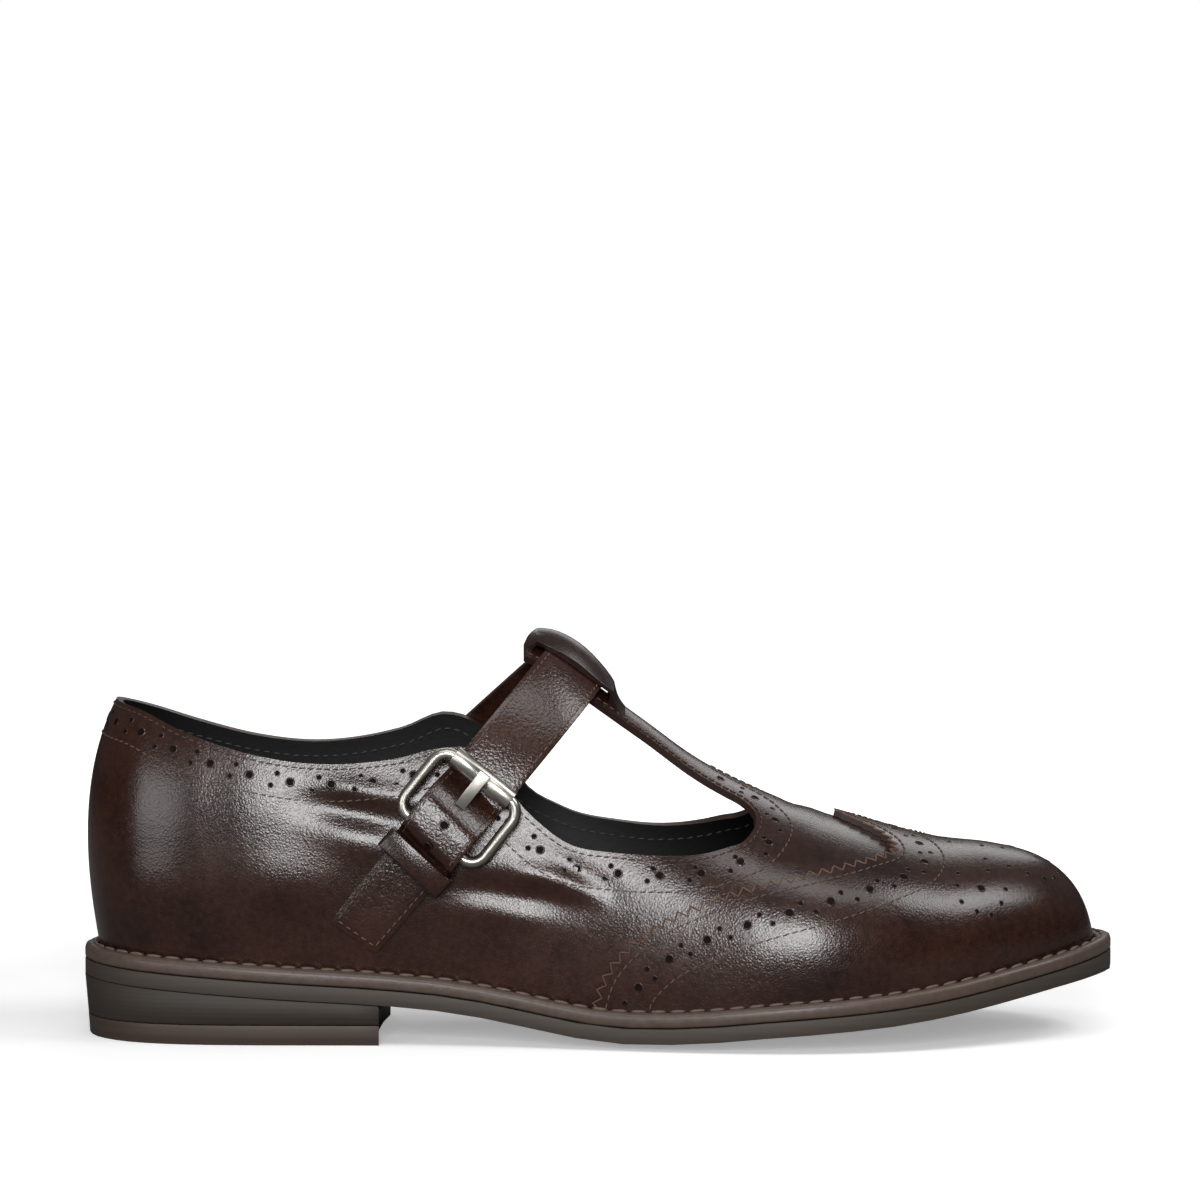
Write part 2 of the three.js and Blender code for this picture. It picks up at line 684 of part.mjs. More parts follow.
const ridgeLean = (x) => TOE_LEAN * ((x - WELT_REACH_HEEL) / LAST_LENGTH) ** 2;

// The strap's middle line crosses the ridge here, and each of its fibres lies in a slanting plane
const strapTop = lastPoint(turnOf(STRAP_RIDGE), Math.PI / 2, OUTER);
strapTop.z += STRAP_OVER_RIDGE;
const outerSlope = radians(STRAP_SLOPE_OUTER);
const innerSlope = radians(STRAP_SLOPE_INNER);
const strapAcross = new THREE.Vector2(Math.sin(outerSlope), -Math.cos(outerSlope));
const strapDown = {
  [OUTER]: new THREE.Vector2(-Math.cos(outerSlope), -Math.sin(outerSlope)),
  [INNER]: new THREE.Vector2(-Math.cos(innerSlope), -Math.sin(innerSlope)),
};

// A point of a strap's fibre: swing is the angle round from the ridge, across the place in its width
function fibrePoint(side, swing, across) {
  const down = strapDown[side];
  const at = (r) => {
    const depth = STRAP_CENTRE_DEPTH - r * Math.cos(swing);
    const x = strapTop.x + depth * down.x + across * strapAcross.x;
    const z = strapTop.z + depth * down.y + across * strapAcross.y;
    return new THREE.Vector3(x, ridgeLean(x) + side * r * Math.sin(swing), z);
  };
  let low = 0;
  let high = 120;
  for (let i = 0; i < 36; i += 1) {
    const middle = (low + high) / 2;
    const p = at(middle);
    if (halfWidthAt(p.x, p.z, side) > Math.abs(p.y - ridgeLean(p.x))) low = middle;
    else high = middle;
  }
  return at(low);
}

function fibreNormal(side, swing, across) {
  const s = Math.max(swing, 0.02);
  const round = fibrePoint(side, s + 0.02, across).sub(fibrePoint(side, s - 0.02, across));
  const along = fibrePoint(side, s, across + 1).sub(fibrePoint(side, s, across - 1));
  return along.cross(round).multiplyScalar(side).normalize();
}

// The swing at which the strap's middle has come down a given distance from the ridge
function swingAt(side, distance) {
  let low = 0;
  let high = radians(170);
  for (let i = 0; i < 30; i += 1) {
    const middle = (low + high) / 2;
    const p = fibrePoint(side, middle, 0);
    const down = (p.x - strapTop.x) / strapDown[side].x;
    if (down < distance) low = middle;
    else high = middle;
  }
  return (low + high) / 2;
}

const offStrap = (side, swing, across, off) => (
  fibrePoint(side, swing, across).addScaledVector(fibreNormal(side, swing, across), off));

// Axes at one place of the strap's middle: u up to the ridge, v across to the heel, w off the foot
function strapFrame(distance, off) {
  const swing = swingAt(OUTER, distance);
  const origin = offStrap(OUTER, swing, 0, off);
  const v = offStrap(OUTER, swing, -4, off).sub(offStrap(OUTER, swing, 4, off)).normalize();
  const w = fibreNormal(OUTER, swing, 0);
  const u = new THREE.Vector3().crossVectors(v, w).normalize();
  return { origin, u, v, w: new THREE.Vector3().crossVectors(u, v) };
}

const placed = (geometry, { origin, u, v, w }) => (
  geometry.applyMatrix4(new THREE.Matrix4().makeBasis(u, v, w).setPosition(origin)));

// How high the instep strap's underside lies over the last at each distance from the ridge
const PIVOT_CLEAR = 0.55;
const PIVOT_RISE = GAP + BASE_THICK + 1.5 * PIVOT_CLEAR + WIRE / 2;
const WRAP_RADIUS = WIRE / 2 + PIVOT_CLEAR + BASE_THICK;
const OVER_PIVOT = PIVOT_RISE + WRAP_RADIUS + 2 * GAP;
const ON_RETURN = 3 * GAP + 2 * BASE_THICK;
const STRAP_LIFT = [
  { at: 0, off: STRAP_GAP },
  { at: ROLLER_AT + 2.5, off: STRAP_GAP },
  { at: HOLE_AT - 2.0, off: mix(STRAP_GAP, OVER_PIVOT, 0.3) },
  { at: HOLE_AT + 1.0, off: mix(STRAP_GAP, OVER_PIVOT, 0.68) },
  { at: HOLE_AT + 4.0, off: mix(STRAP_GAP, OVER_PIVOT, 0.95) },
  { at: PIVOT_AT - 2.5, off: OVER_PIVOT },
  { at: PIVOT_AT + 0.5, off: OVER_PIVOT },
  { at: PIVOT_AT + 2.6, off: mix(ON_RETURN, OVER_PIVOT, 0.85) },
  { at: PIVOT_AT + 4.2, off: mix(ON_RETURN, OVER_PIVOT, 0.25) },
  { at: PIVOT_AT + 5.4, off: ON_RETURN + GAP },
  { at: TAIL_END, off: ON_RETURN + GAP },
];

const strapLift = (distance) => follow(STRAP_LIFT, 'at', 'off', distance, true);

function strapSolid() {
  const sheet = new Sheet();
  const free = ROLLER_AT - 8;
  const stations = [];
  for (const swing of spread(swingAt(INNER, STITCHED_END), 0, 14)) {
    stations.push({ side: INNER, swing, off: STRAP_GAP });
  }
  for (const swing of spread(0, swingAt(OUTER, free), 10).slice(1)) {
    stations.push({ side: OUTER, swing, off: STRAP_GAP });
  }
  for (const distance of spread(free, TAIL_END, 16).slice(1)) {
    const off = strapLift(distance);
    stations.push({ side: OUTER, swing: swingAt(OUTER, distance), off });
  }
  const half = STRAP_WIDTH / 2;
  const rows = stations.map(({ side, swing, off }) => (
    spread(-half, half, 4).map((across) => ({
      out: offStrap(side, swing, across, off + STRAP_THICK),
      back: offStrap(side, swing, across, off),
    }))));
  sheet.grid(rows, true);
  return toSolid(facingOut(sheet.geometry()));
}

function strapGeometry() {
  let solid = strapSolid();
  const slot = new THREE.BoxGeometry(2 * PRONG_WIDTH + GAP, PRONG_WIDTH + 2 * GAP, 6 * STRAP_THICK);
  solid = solid.subtract(toSolid(placed(slot, strapFrame(HOLE_AT, strapLift(HOLE_AT)))));
  for (const distance of FREE_HOLES) {
    const hole = new THREE.CylinderGeometry(HOLE_RADIUS, HOLE_RADIUS, 4 * STRAP_THICK, 12);
    hole.rotateX(Math.PI / 2);
    solid = solid.subtract(toSolid(placed(hole, strapFrame(distance, strapLift(distance)))));
  }
  return toGeometry(solid);
}

// The buckle's own plane runs from the pivot bar to the roller
const pivotFrame = strapFrame(PIVOT_AT, PIVOT_RISE);
const ROLLER_RISE = STRAP_GAP + STRAP_THICK + 2.4 * GAP + ROLLER_RADIUS;
const rollerFrame = strapFrame(ROLLER_AT, ROLLER_RISE);
const buckleLength = rollerFrame.origin.distanceTo(pivotFrame.origin);
const buckleU = rollerFrame.origin.clone().sub(pivotFrame.origin).normalize();
const buckleW = new THREE.Vector3().crossVectors(buckleU, pivotFrame.v).normalize();
const buckleV = new THREE.Vector3().crossVectors(buckleW, buckleU);
const buckle = { origin: pivotFrame.origin, u: buckleU, v: buckleV, w: buckleW };
const buckleHalf = ROLLER_LENGTH / 2 + GAP + FRAME_CORNER - 0.9;

// The frame is round wire bent to a rectangle with rounded corners
function frameGeometry() {
  const middle = [];
  const corners = [
    { end: buckleLength - FRAME_CORNER, v: 1, quarter: 0 },
    { end: buckleLength - FRAME_CORNER, v: -1, quarter: 1 },
    { end: FRAME_CORNER, v: -1, quarter: 2 },
    { end: FRAME_CORNER, v: 1, quarter: 3 },
  ];
  for (const { end, v, quarter } of corners) {
    const centre = v * (buckleHalf - FRAME_CORNER);
    for (const a of spread(quarter, quarter + 1, 5).map((q) => (1 - q) * Math.PI / 2)) {
      middle.push({
        u: end + FRAME_CORNER * Math.cos(a),
        v: centre + FRAME_CORNER * Math.sin(a),
        a,
      });
    }
  }
  const sections = middle.map(({ u, v, a }) => spread(0, 2 * Math.PI, 10).slice(0, -1).map((turn) => {
    const out = Math.cos(turn) * WIRE / 2;
    const up = Math.sin(turn) * WIRE / 2;
    return new THREE.Vector3(u + out * Math.cos(a), v + out * Math.sin(a), up);
  }));
  return placed(loft(sections, true), buckle);
}

function tube(length, outer, inner, segments) {
  const profile = [
    new THREE.Vector2(inner, -length / 2),
    new THREE.Vector2(outer, -length / 2),
    new THREE.Vector2(outer, length / 2),
    new THREE.Vector2(inner, length / 2),
    new THREE.Vector2(inner, -length / 2),
  ];
  return new THREE.LatheGeometry(profile, segments);
}

function rollerGeometry() {
  const roller = facingOutMerged(tube(ROLLER_LENGTH, ROLLER_RADIUS, WIRE / 2 + GAP, 24));
  roller.translate(buckleLength, 0, 0);
  const notch = new THREE.BoxGeometry(4 * ROLLER_RADIUS, PRONG_WIDTH + 2 * GAP, 1);
  notch.translate(buckleLength, 0, ROLLER_RADIUS);
  const cut = toSolid(roller).subtract(toSolid(notch));
  return placed(toGeometry(cut), buckle);
}

function facingOutMerged(geometry) {
  geometry.deleteAttribute('normal');
  geometry.deleteAttribute('uv');
  return facingOut(mergeVertices(geometry, 1e-3));
}

// The prong swings on the pivot bar, comes up through the strap's hole and rests in the roller's notch
const PRONG = [
  { u: 0.10, w: 0.2 },
  { u: 0.28, w: 0.5 },
  { u: 0.42, w: 0.9 },
  { u: 0.56, w: 2.0 },
  { u: 0.70, w: 2.9 },
  { u: 0.86, w: 3.25 },
  { u: 1.00, w: 3.25 },
  { u: 1.07, w: 3.2 },
];

function prongGeometry() {
  const ringOuter = WRAP_RADIUS - GAP;
  const ring = facingOutMerged(tube(PRONG_WIDTH, ringOuter, WIRE / 2 + GAP, 20));
  const sections = PRONG.map(({ u, w }) => {
    const half = PRONG_THICK / 2;
    const side = PRONG_WIDTH / 2;
    const at = u * buckleLength;
    return [
      new THREE.Vector3(at, -side, w - half),
      new THREE.Vector3(at, side, w - half),
      new THREE.Vector3(at, side, w + half),
      new THREE.Vector3(at, -side, w + half),
    ];
  });
  return placed(toGeometry(toSolid(ring).add(toSolid(loft(sections, false)))), buckle);
}

// The buckle strap is sewn to the outer quarter, folds round the pivot bar and ends under the tail
function buckleStrapGeometry() {
  const sheet = new Sheet();
  const rows = [];
  const halfAt = (distance) => {
    const share = (distance - PIVOT_AT) / (BASE_END - PIVOT_AT);
    return mix(BASE_WIDTH, BASE_END_WIDTH, Math.max(share, 0)) / 2;
  };
  const layer = (distance, outOff, backOff) => {
    const swing = swingAt(OUTER, distance);
    const half = halfAt(distance);
    rows.push(spread(-half, half, 4).map((across) => ({
      out: offStrap(OUTER, swing, across, outOff),
      back: offStrap(OUTER, swing, across, backOff),
    })));
  };
  for (const distance of spread(BASE_END, PIVOT_AT + 0.5, 10)) {
    layer(distance, GAP, GAP + BASE_THICK);
  }
  const half = BASE_WIDTH / 2;
  for (const a of spread(-70, 80, 6).map(radians)) {
    const at = (across, r) => buckle.origin.clone()
      .addScaledVector(buckle.v, -across)
      .addScaledVector(buckle.u, r * Math.cos(a))
      .addScaledVector(buckle.w, r * Math.sin(a));
    rows.push(spread(-half, half, 4).map((across) => ({
      out: at(across, WRAP_RADIUS),
      back: at(across, WIRE / 2 + PIVOT_CLEAR),
    })));
  }
  const returns = [
    { past: 1.0, share: 1.0 },
    { past: 2.4, share: 0.8 },
    { past: 3.8, share: 0.2 },
    { past: 5.0, share: 0.0 },
    { past: 9.5, share: 0.0 },
  ];
  for (const { past, share } of returns) {
    const under = mix(2 * GAP + BASE_THICK, PIVOT_RISE + WIRE / 2 + PIVOT_CLEAR, share);
    layer(PIVOT_AT + past, under + BASE_THICK, under);
  }
  sheet.grid(rows, true);
  const slot = new THREE.BoxGeometry(3 * WRAP_RADIUS, PRONG_WIDTH + 2 * GAP, 3 * WRAP_RADIUS);
  slot.translate(WRAP_RADIUS * 0.4, 0, 0);
  const solid = toSolid(facingOut(sheet.geometry()));
  return toGeometry(solid.subtract(toSolid(placed(slot, buckle))));
}

// The keeper is a band over the tail, its two feet beside the buckle strap
function keeperGeometry() {
  const inner = STRAP_WIDTH / 2 + 1.5 * GAP;
  const outer = inner + KEEPER_THICK;
  const under = ON_RETURN + STRAP_THICK + 5 * GAP;
  const top = under + KEEPER_THICK;
  const foot = 2 * GAP;
  const round = KEEPER_THICK;
  const band = new THREE.Shape();
  band.moveTo(-outer, foot);
  band.lineTo(-outer, top - round);
  band.lineTo(-outer + round * 0.3, top - round * 0.3);
  band.lineTo(-outer + round, top);
  band.lineTo(outer - round, top);
  band.lineTo(outer - round * 0.3, top - round * 0.3);
  band.lineTo(outer, top - round);
  band.lineTo(outer, foot);
  band.lineTo(inner, foot);
  band.lineTo(inner, under);
  band.lineTo(-inner, under);
  band.lineTo(-inner, foot);
  band.closePath();
  const solid = new THREE.ExtrudeGeometry(band, { depth: KEEPER_BAND, bevelEnabled: false });
  solid.translate(0, 0, -KEEPER_BAND / 2);
  const { origin, u, v, w } = strapFrame(KEEPER_AT, 0);
  return placed(solid, { origin, u: v, v: w, w: u });
}

const leather = (color) => new THREE.MeshStandardMaterial({ color, roughness: 0.38, metalness: 0 });
const nickel = new THREE.MeshStandardMaterial({ color: 0xb9b4aa, roughness: 0.32, metalness: 1 });
const darkLeather = leather(0x2b1a17);
const weltLeather = leather(0x4a352c);
const lining = new THREE.MeshStandardMaterial({ color: 0x151212, roughness: 0.7, metalness: 0 });
const sole = new THREE.MeshStandardMaterial({ color: 0x4b433c, roughness: 0.6, metalness: 0 });
const stack = new THREE.MeshStandardMaterial({ color: 0x3f3933, roughness: 0.55, metalness: 0 });

const shoe = new THREE.Group();
shoe.position.set(-HEEL_LENGTH / 2, 0, 0);

function piece(name, geometry, material) {
  const mesh = new THREE.Mesh(geometry, material);
  mesh.name = name;
  shoe.add(mesh);
}

piece('outsole', outsoleGeometry(), sole);
piece('welt', weltGeometry(), weltLeather);
piece('heel_stack', heelGeometry(), stack);
piece('top_lift', topLiftGeometry(), sole);
piece('insole', insoleGeometry(), lining);
piece('upper', upperGeometry(), darkLeather);
piece('wing_cap', wingCapGeometry(), darkLeather);
piece('strap', strapGeometry(), darkLeather);
piece('buckle_strap', buckleStrapGeometry(), darkLeather);
piece('keeper', keeperGeometry(), darkLeather);
piece('buckle_frame', frameGeometry(), nickel);
piece('buckle_roller', rollerGeometry(), nickel);
piece('buckle_prong', prongGeometry(), nickel);

export default shoe;
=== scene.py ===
# A right-foot T-bar brogue shoe in dark brown burnished leather, dressed over its fixed frame.
# It is lasted, welted and finished in the order that a shoemaker works. Sizes are in millimetres
# until a mesh is made, with x from the back end of the sole.
import math

import bmesh
import bpy
import numpy as np
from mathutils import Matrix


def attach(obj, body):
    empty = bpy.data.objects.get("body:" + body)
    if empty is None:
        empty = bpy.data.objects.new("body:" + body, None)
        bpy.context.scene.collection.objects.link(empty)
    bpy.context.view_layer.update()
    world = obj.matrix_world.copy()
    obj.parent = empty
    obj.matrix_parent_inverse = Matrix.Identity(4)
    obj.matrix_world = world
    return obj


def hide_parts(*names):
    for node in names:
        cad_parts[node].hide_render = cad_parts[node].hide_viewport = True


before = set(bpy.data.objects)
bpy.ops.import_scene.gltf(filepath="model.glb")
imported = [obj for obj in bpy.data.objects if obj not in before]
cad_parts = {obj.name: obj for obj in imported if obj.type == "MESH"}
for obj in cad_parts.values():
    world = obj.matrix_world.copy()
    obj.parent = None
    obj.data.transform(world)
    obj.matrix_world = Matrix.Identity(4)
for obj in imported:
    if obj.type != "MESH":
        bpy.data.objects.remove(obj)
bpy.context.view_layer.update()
bpy.ops.object.select_all(action="DESELECT")

# Camera
# A long lens a metre from the outer side of the shoe, a little above it and almost level, so that
# its outline shows with hardly any perspective.
CAMERA_PLACE = (0.095, -1.0, 0.1475)
CAMERA_TILT = 87.96
LENS = 115.5
SENSOR = 36
bpy.ops.object.camera_add(location=CAMERA_PLACE, rotation=(math.radians(CAMERA_TILT), 0, 0))
camera = bpy.context.object
camera.data.lens = LENS
camera.data.sensor_width = SENSOR
bpy.context.scene.camera = camera

# The last
# The wooden form that the upper is pulled over: a feather line round the foot, and a rib up from
# each place of it to the ridge. Turn runs from the heel to the toe, and up from sole to ridge.
BACK = 4.4
LAST = 256.9
HEEL_FAN = 24.0
TOE_LEAN = 4.0
SOLE = 267.5
OVER_SEAM = 0.3
BELLY_BULGE = 2.6
ORIGIN = np.array([39.0, 0.0, 0.0])
OUTER = -1
INNER = 1
STATIONS = np.array([
    # along, half width, lean, rise, peak, outer belly, inner belly, fullness
    [0.00, 0.0, 0.0, 86.0, 0.00, 6.4, 6.4, 1.00],
    [0.02, 14.9, 0.0, 86.0, 0.00, 6.4, 6.4, 1.00],
    [0.05, 21.0, 0.0, 86.5, 0.00, 6.4, 6.4, 1.00],
    [0.10, 24.4, -0.2, 88.0, 0.00, 6.4, 6.4, 1.00],
    [0.16, 25.2, -0.5, 90.0, 0.00, 6.4, 6.6, 1.00],
    [0.22, 24.8, -1.0, 91.5, 0.02, 6.3, 7.0, 1.00],
    [0.30, 23.8, -2.5, 93.0, 0.05, 6.2, 8.0, 0.98],
    [0.40, 24.3, -4.3, 93.5, 0.15, 6.2, 9.0, 0.95],
    [0.45, 25.7, -4.8, 91.0, 0.22, 6.2, 9.0, 0.94],
    [0.50, 27.8, -5.0, 83.6, 0.25, 6.0, 8.4, 0.93],
    [0.55, 30.7, -4.8, 74.6, 0.25, 5.6, 7.4, 0.92],
    [0.60, 33.7, -4.2, 64.7, 0.20, 5.0, 6.2, 0.91],
    [0.66, 37.0, -3.2, 55.2, 0.10, 4.4, 5.2, 0.90],
    [0.72, 38.8, -1.9, 48.0, 0.00, 3.8, 4.2, 0.88],
    [0.78, 38.2, -0.5, 42.2, -0.04, 3.2, 3.4, 0.86],
    [0.84, 34.6, 0.8, 36.1, -0.06, 2.6, 2.8, 0.85],
    [0.90, 28.0, 2.0, 31.5, -0.06, 2.0, 2.2, 0.85],
    [0.95, 20.6, 3.0, 25.4, -0.04, 1.4, 1.5, 0.86],
    [0.98, 13.4, 3.6, 17.6, -0.02, 0.9, 0.9, 0.88],
    [1.00, 0.0, 4.0, 0.0, 0.00, 0.0, 0.0, 0.90],
])
SEAM = np.array([
    # along the sole, height of the seam between sole and welt
    [0.00, 19.40], [0.10, 17.50], [0.20, 15.60], [0.30, 14.00], [0.36, 12.50], [0.40, 10.80],
    [0.44, 8.70], [0.48, 6.70], [0.51, 5.74], [0.55, 5.61], [0.60, 6.31], [0.66, 7.90],
    [0.72, 9.20], [0.78, 10.70], [0.84, 13.00], [0.90, 16.00], [0.96, 19.10], [1.00, 21.20],
])


def curve_through(xs, ys, slope, at):
    """A smooth curve through places with a given slope at each."""
    i = np.clip(np.searchsorted(xs, at, side="right") - 1, 0, len(xs) - 2)
    span = xs[i + 1] - xs[i]
    t = (at - xs[i]) / span
    return ((2 * t ** 3 - 3 * t ** 2 + 1) * ys[i] + (t ** 3 - 2 * t ** 2 + t) * span * slope[i]
            + (3 * t ** 2 - 2 * t ** 3) * ys[i + 1] + (t ** 3 - t ** 2) * span * slope[i + 1])


def follow(xs, ys, at):
    return curve_through(xs, ys, np.gradient(ys, xs), at)


def turn_of(along):
    return np.arccos(1 - 2 * np.clip(along, 0, 1))


def along_of(turn):
    return (1 - np.cos(turn)) / 2


STATION_TURNS = turn_of(STATIONS[:, 0])


def station(column, turn):
    return follow(STATION_TURNS, STATIONS[:, column], turn)


def seam_height(x):
    return follow(SEAM[:, 0], SEAM[:, 1], np.clip(x / SOLE, 0, 1))


def feather(turn, side):
    return BACK + LAST * along_of(turn), station(2, turn) + side * station(1, turn)


def spine(foot_x):
    """Where a rib meets the ridge: straight over its foot, but fanned round one place at the heel."""
    fan = np.clip((foot_x - BACK) / (2 * HEEL_FAN), 0, 1)
    return np.where(fan < 1, BACK + HEEL_FAN * (1 + fan * fan), foot_x)


def lean(x):
    return TOE_LEAN * ((x - BACK) / LAST) ** 2


def last_point(turn, up, side):
    foot_x, foot_y = feather(turn, side)
    spine_x = spine(foot_x)
    spine_y = lean(foot_x)
    dx = foot_x - spine_x
    dy = foot_y - spine_y
    half = np.hypot(dx, dy)
    safe = np.maximum(half, 1e-9)
    dx = np.where(half > 1e-6, dx / safe, 0.0)
    dy = np.where(half > 1e-6, dy / safe, side)
    s = np.sin(up)
    c = np.cos(up)
    belly = np.where(np.asarray(side) < 0, station(5, turn), station(6, turn))
    out = half * c * (1 - station(4, turn) * s) + belly * BELLY_BULGE * s * c * c
    z = seam_height(foot_x) + OVER_SEAM + station(3, turn) * np.abs(s) ** station(7, turn)
    return np.stack([spine_x + dx * out, spine_y + dy * out, z], -1)


def last_normal(turn, up, side):
    """Straight away from the last at a place."""
    step = 1e-3
    turn = np.clip(turn, step, np.pi - 3 * step)
    ahead = last_point(turn + step, up, side) - last_point(turn - step, up, side)
    above = last_point(turn, up + step, side) - last_point(turn, np.maximum(up - step, 1e-5), side)
    n = -np.cross(ahead, above) * np.asarray(side)[..., None]
    return n / np.maximum(np.linalg.norm(n, axis=-1, keepdims=True), 1e-12)


# Creases
# Where the leather has folded in wear and on the last: soft troughs and ridges, each drawn from one
# place on the upper to another.
CREASES = [
    # side, along, up, to along, to up, breadth, depth
    (OUTER, 0.205, 30.5, 0.335, 26.0, 2.6, -1.1),
    (OUTER, 0.225, 33.5, 0.335, 29.5, 2.0, 0.8),
    (OUTER, 0.225, 25.5, 0.325, 20.5, 3.0, 0.8),
    (OUTER, 0.365, 19.0, 0.500, 21.5, 2.2, 1.1),
    (OUTER, 0.360, 15.6, 0.490, 18.0, 2.2, -1.0),
    (OUTER, 0.345, 12.8, 0.440, 14.2, 2.2, 0.6),
    (OUTER, 0.460, 25.0, 0.520, 23.0, 2.2, -0.5),
    (OUTER, 0.118, 6.0, 0.128, 44.0, 5.0, -0.30),
    (OUTER, 0.135, 15.5, 0.255, 16.5, 5.6, 1.0),
    (OUTER, 0.030, 14.0, 0.105, 14.5, 5.6, 0.7),
    (INNER, 0.260, 30.0, 0.420, 24.0, 4.2, -0.7),
    (INNER, 0.300, 24.0, 0.480, 20.0, 4.2, 0.6),
    (OUTER, 0.668, 42.0, 0.700, 90.0, 2.6, -0.35),
    (INNER, 0.672, 42.0, 0.700, 90.0, 2.6, -0.35),
    (OUTER, 0.700, 50.0, 0.722, 90.0, 2.2, 0.22),
    (INNER, 0.700, 50.0, 0.722, 90.0, 2.2, 0.22),
]


def creased(turn, up, side):
    """How far the leather stands off the last at a place, from its creases."""
    u = along_of(turn) * LAST
    v = np.degrees(up)
    height = np.zeros(np.broadcast(u, v).shape)
    for at, along, low, to_along, high, breadth, depth in CREASES:
        du = (to_along - along) * LAST
        dv = high - low
        t = np.clip(((u - along * LAST) * du + (v - low) * dv) / (du * du + dv * dv), 0, 1)
        away = np.hypot(u - along * LAST - t * du, v - low - t * dv)
        fade = np.sin(np.pi * np.clip(t, 0.04, 0.96)) ** 0.6
        crosses_ridge = (high > 89) & (t > 0.5)
        fade = np.where(crosses_ridge, 1.0, fade)
        height += (np.asarray(side) == at) * depth * fade * np.exp(-(away / breadth) ** 2)
    return height


def skin(turn, up, side, off=0.0):
    """A place on the upper's outside, moved off it."""
    turn = np.asarray(turn, float)
    up = np.asarray(up, float)
    side = np.broadcast_to(side, np.broadcast(turn, up).shape)
    lift = creased(turn, up, side) + off
    return last_point(turn, up, side) + last_normal(turn, up, side) * np.asarray(lift)[..., None]


# Upper leather
# Calf dyed dark brown, burnished by hand and waxed, so that its colour is uneven and its fine
# grain breaks up a soft shine.
LEATHER_DARK = (0.0085, 0.0030, 0.0024)
LEATHER_WARM = (0.046, 0.0165, 0.0100)
LEATHER_RELIEF = 0.17
RELIEF_DEPTH = 0.0003
TOOTH = 0.35


class Value:
    """A shader socket that adds, subtracts and multiplies by making Math nodes."""

    def __init__(self, tree, socket):
        self.tree = tree
        self.socket = socket

    def math(self, operation, *others):
        node = self.tree.nodes.new("ShaderNodeMath")
        node.operation = operation
        for slot_in, given in zip(node.inputs, (self, *others)):
            feed(self.tree, slot_in, given)
        return Value(self.tree, node.outputs[0])

    def __add__(self, other):
        return self.math("ADD", other)

    def __mul__(self, other):
        return self.math("MULTIPLY", other)

    def __sub__(self, other):
        return self.math("SUBTRACT", other)

    def clamp(self):
        return self.math("MAXIMUM", 0.0).math("MINIMUM", 1.0)


def feed(tree, socket, value):
    """Links a socket to another one's value, or sets it."""
    if isinstance(value, Value):
        tree.links.new(value.socket, socket)
    else:
        socket.default_value = value


class Finish:
    """A material and the nodes that are added to it."""

    def __init__(self, name):
        self.material = bpy.data.materials.new(name)
        self.material.use_nodes = True
        self.tree = self.material.node_tree
        self.shader = self.tree.nodes["Principled BSDF"]
        self.place = self.node("ShaderNodeTexCoord", "Object")

    def node(self, kind, output, settings=None, **inputs):
        node = self.tree.nodes.new(kind)
        for key, value in (settings or {}).items():
            setattr(node, key, value)
        for key, value in inputs.items():
            feed(self.tree, node.inputs[key.replace("_", " ")], value)
        return Value(self.tree, node.outputs[output])

    def noise(self, scale, detail, roughness, at=None):
        return self.node("ShaderNodeTexNoise", "Fac", Vector=at or self.place, Scale=scale,
                         Detail=detail, Roughness=roughness)

    def stretched(self, x, y, z):
        return self.node("ShaderNodeMapping", "Vector", Vector=self.place, Scale=(x, y, z))

    def blend(self, amount, low, high):
        node = self.tree.nodes.new("ShaderNodeMix")
        node.data_type = "RGBA"
        for key, value in ((0, amount), (6, low), (7, high)):
            feed(self.tree, node.inputs[key], (*value, 1) if isinstance(value, tuple) else value)
        return Value(self.tree, node.outputs[2])

    def relief(self, height, strength, distance):
        return self.node("ShaderNodeBump", "Normal", Height=height, Strength=strength, Distance=distance)

    def set(self, **inputs):
        for key, value in inputs.items():
            feed(self.tree, self.shader.inputs[key.replace("_", " ")], value)
        return self.material


def leather(name, dark=LEATHER_DARK, warm=LEATHER_WARM, grain=1.0, dullest=0.33, wrinkle=0.0):
    """Dyed calf: dullest is how rough its wax is at most, wrinkle the depth of its fine folds."""
    finish = Finish(name)
    cloud = finish.noise(24, 4, 0.6)
    patch = finish.noise(85, 4, 0.65)
    fine = finish.noise(620, 3, 0.6)
    pores = finish.node("ShaderNodeTexVoronoi", "Distance", {"feature": "DISTANCE_TO_EDGE"},
                        Vector=finish.place, Scale=1250.0)
    pebble = finish.node("ShaderNodeTexVoronoi", "Distance", {"feature": "SMOOTH_F1"},
                         Vector=finish.place, Scale=1500.0)
    hair = finish.noise(2600, 2, 0.6)
    stain = ((cloud * 1.5 + patch * 0.9 + fine * 1.1 + hair * 0.8) - 1.62).clamp()
    colour = finish.blend(stain, dark, warm)
    height = ((pores * 2.2).clamp() * 0.6 + pebble * -0.45 + hair * 0.3
              + fine * 0.8 + patch * 1.4 + cloud * 3.0)
    if wrinkle:
        folds = finish.node("ShaderNodeTexVoronoi", "Distance", {"feature": "DISTANCE_TO_EDGE"},
                            Vector=finish.place, Scale=760.0)
        height = height + (folds * 3.0).clamp() * wrinkle
    finish.set(Base_Color=colour,
               Roughness=(fine * 0.10 + patch * 0.12 + (dullest - 0.21)).clamp(),
               Normal=finish.relief(height, LEATHER_RELIEF * grain, RELIEF_DEPTH),
               Specular_IOR_Level=0.5, Coat_Weight=0.15, Coat_Roughness=0.16)
    return finish.material


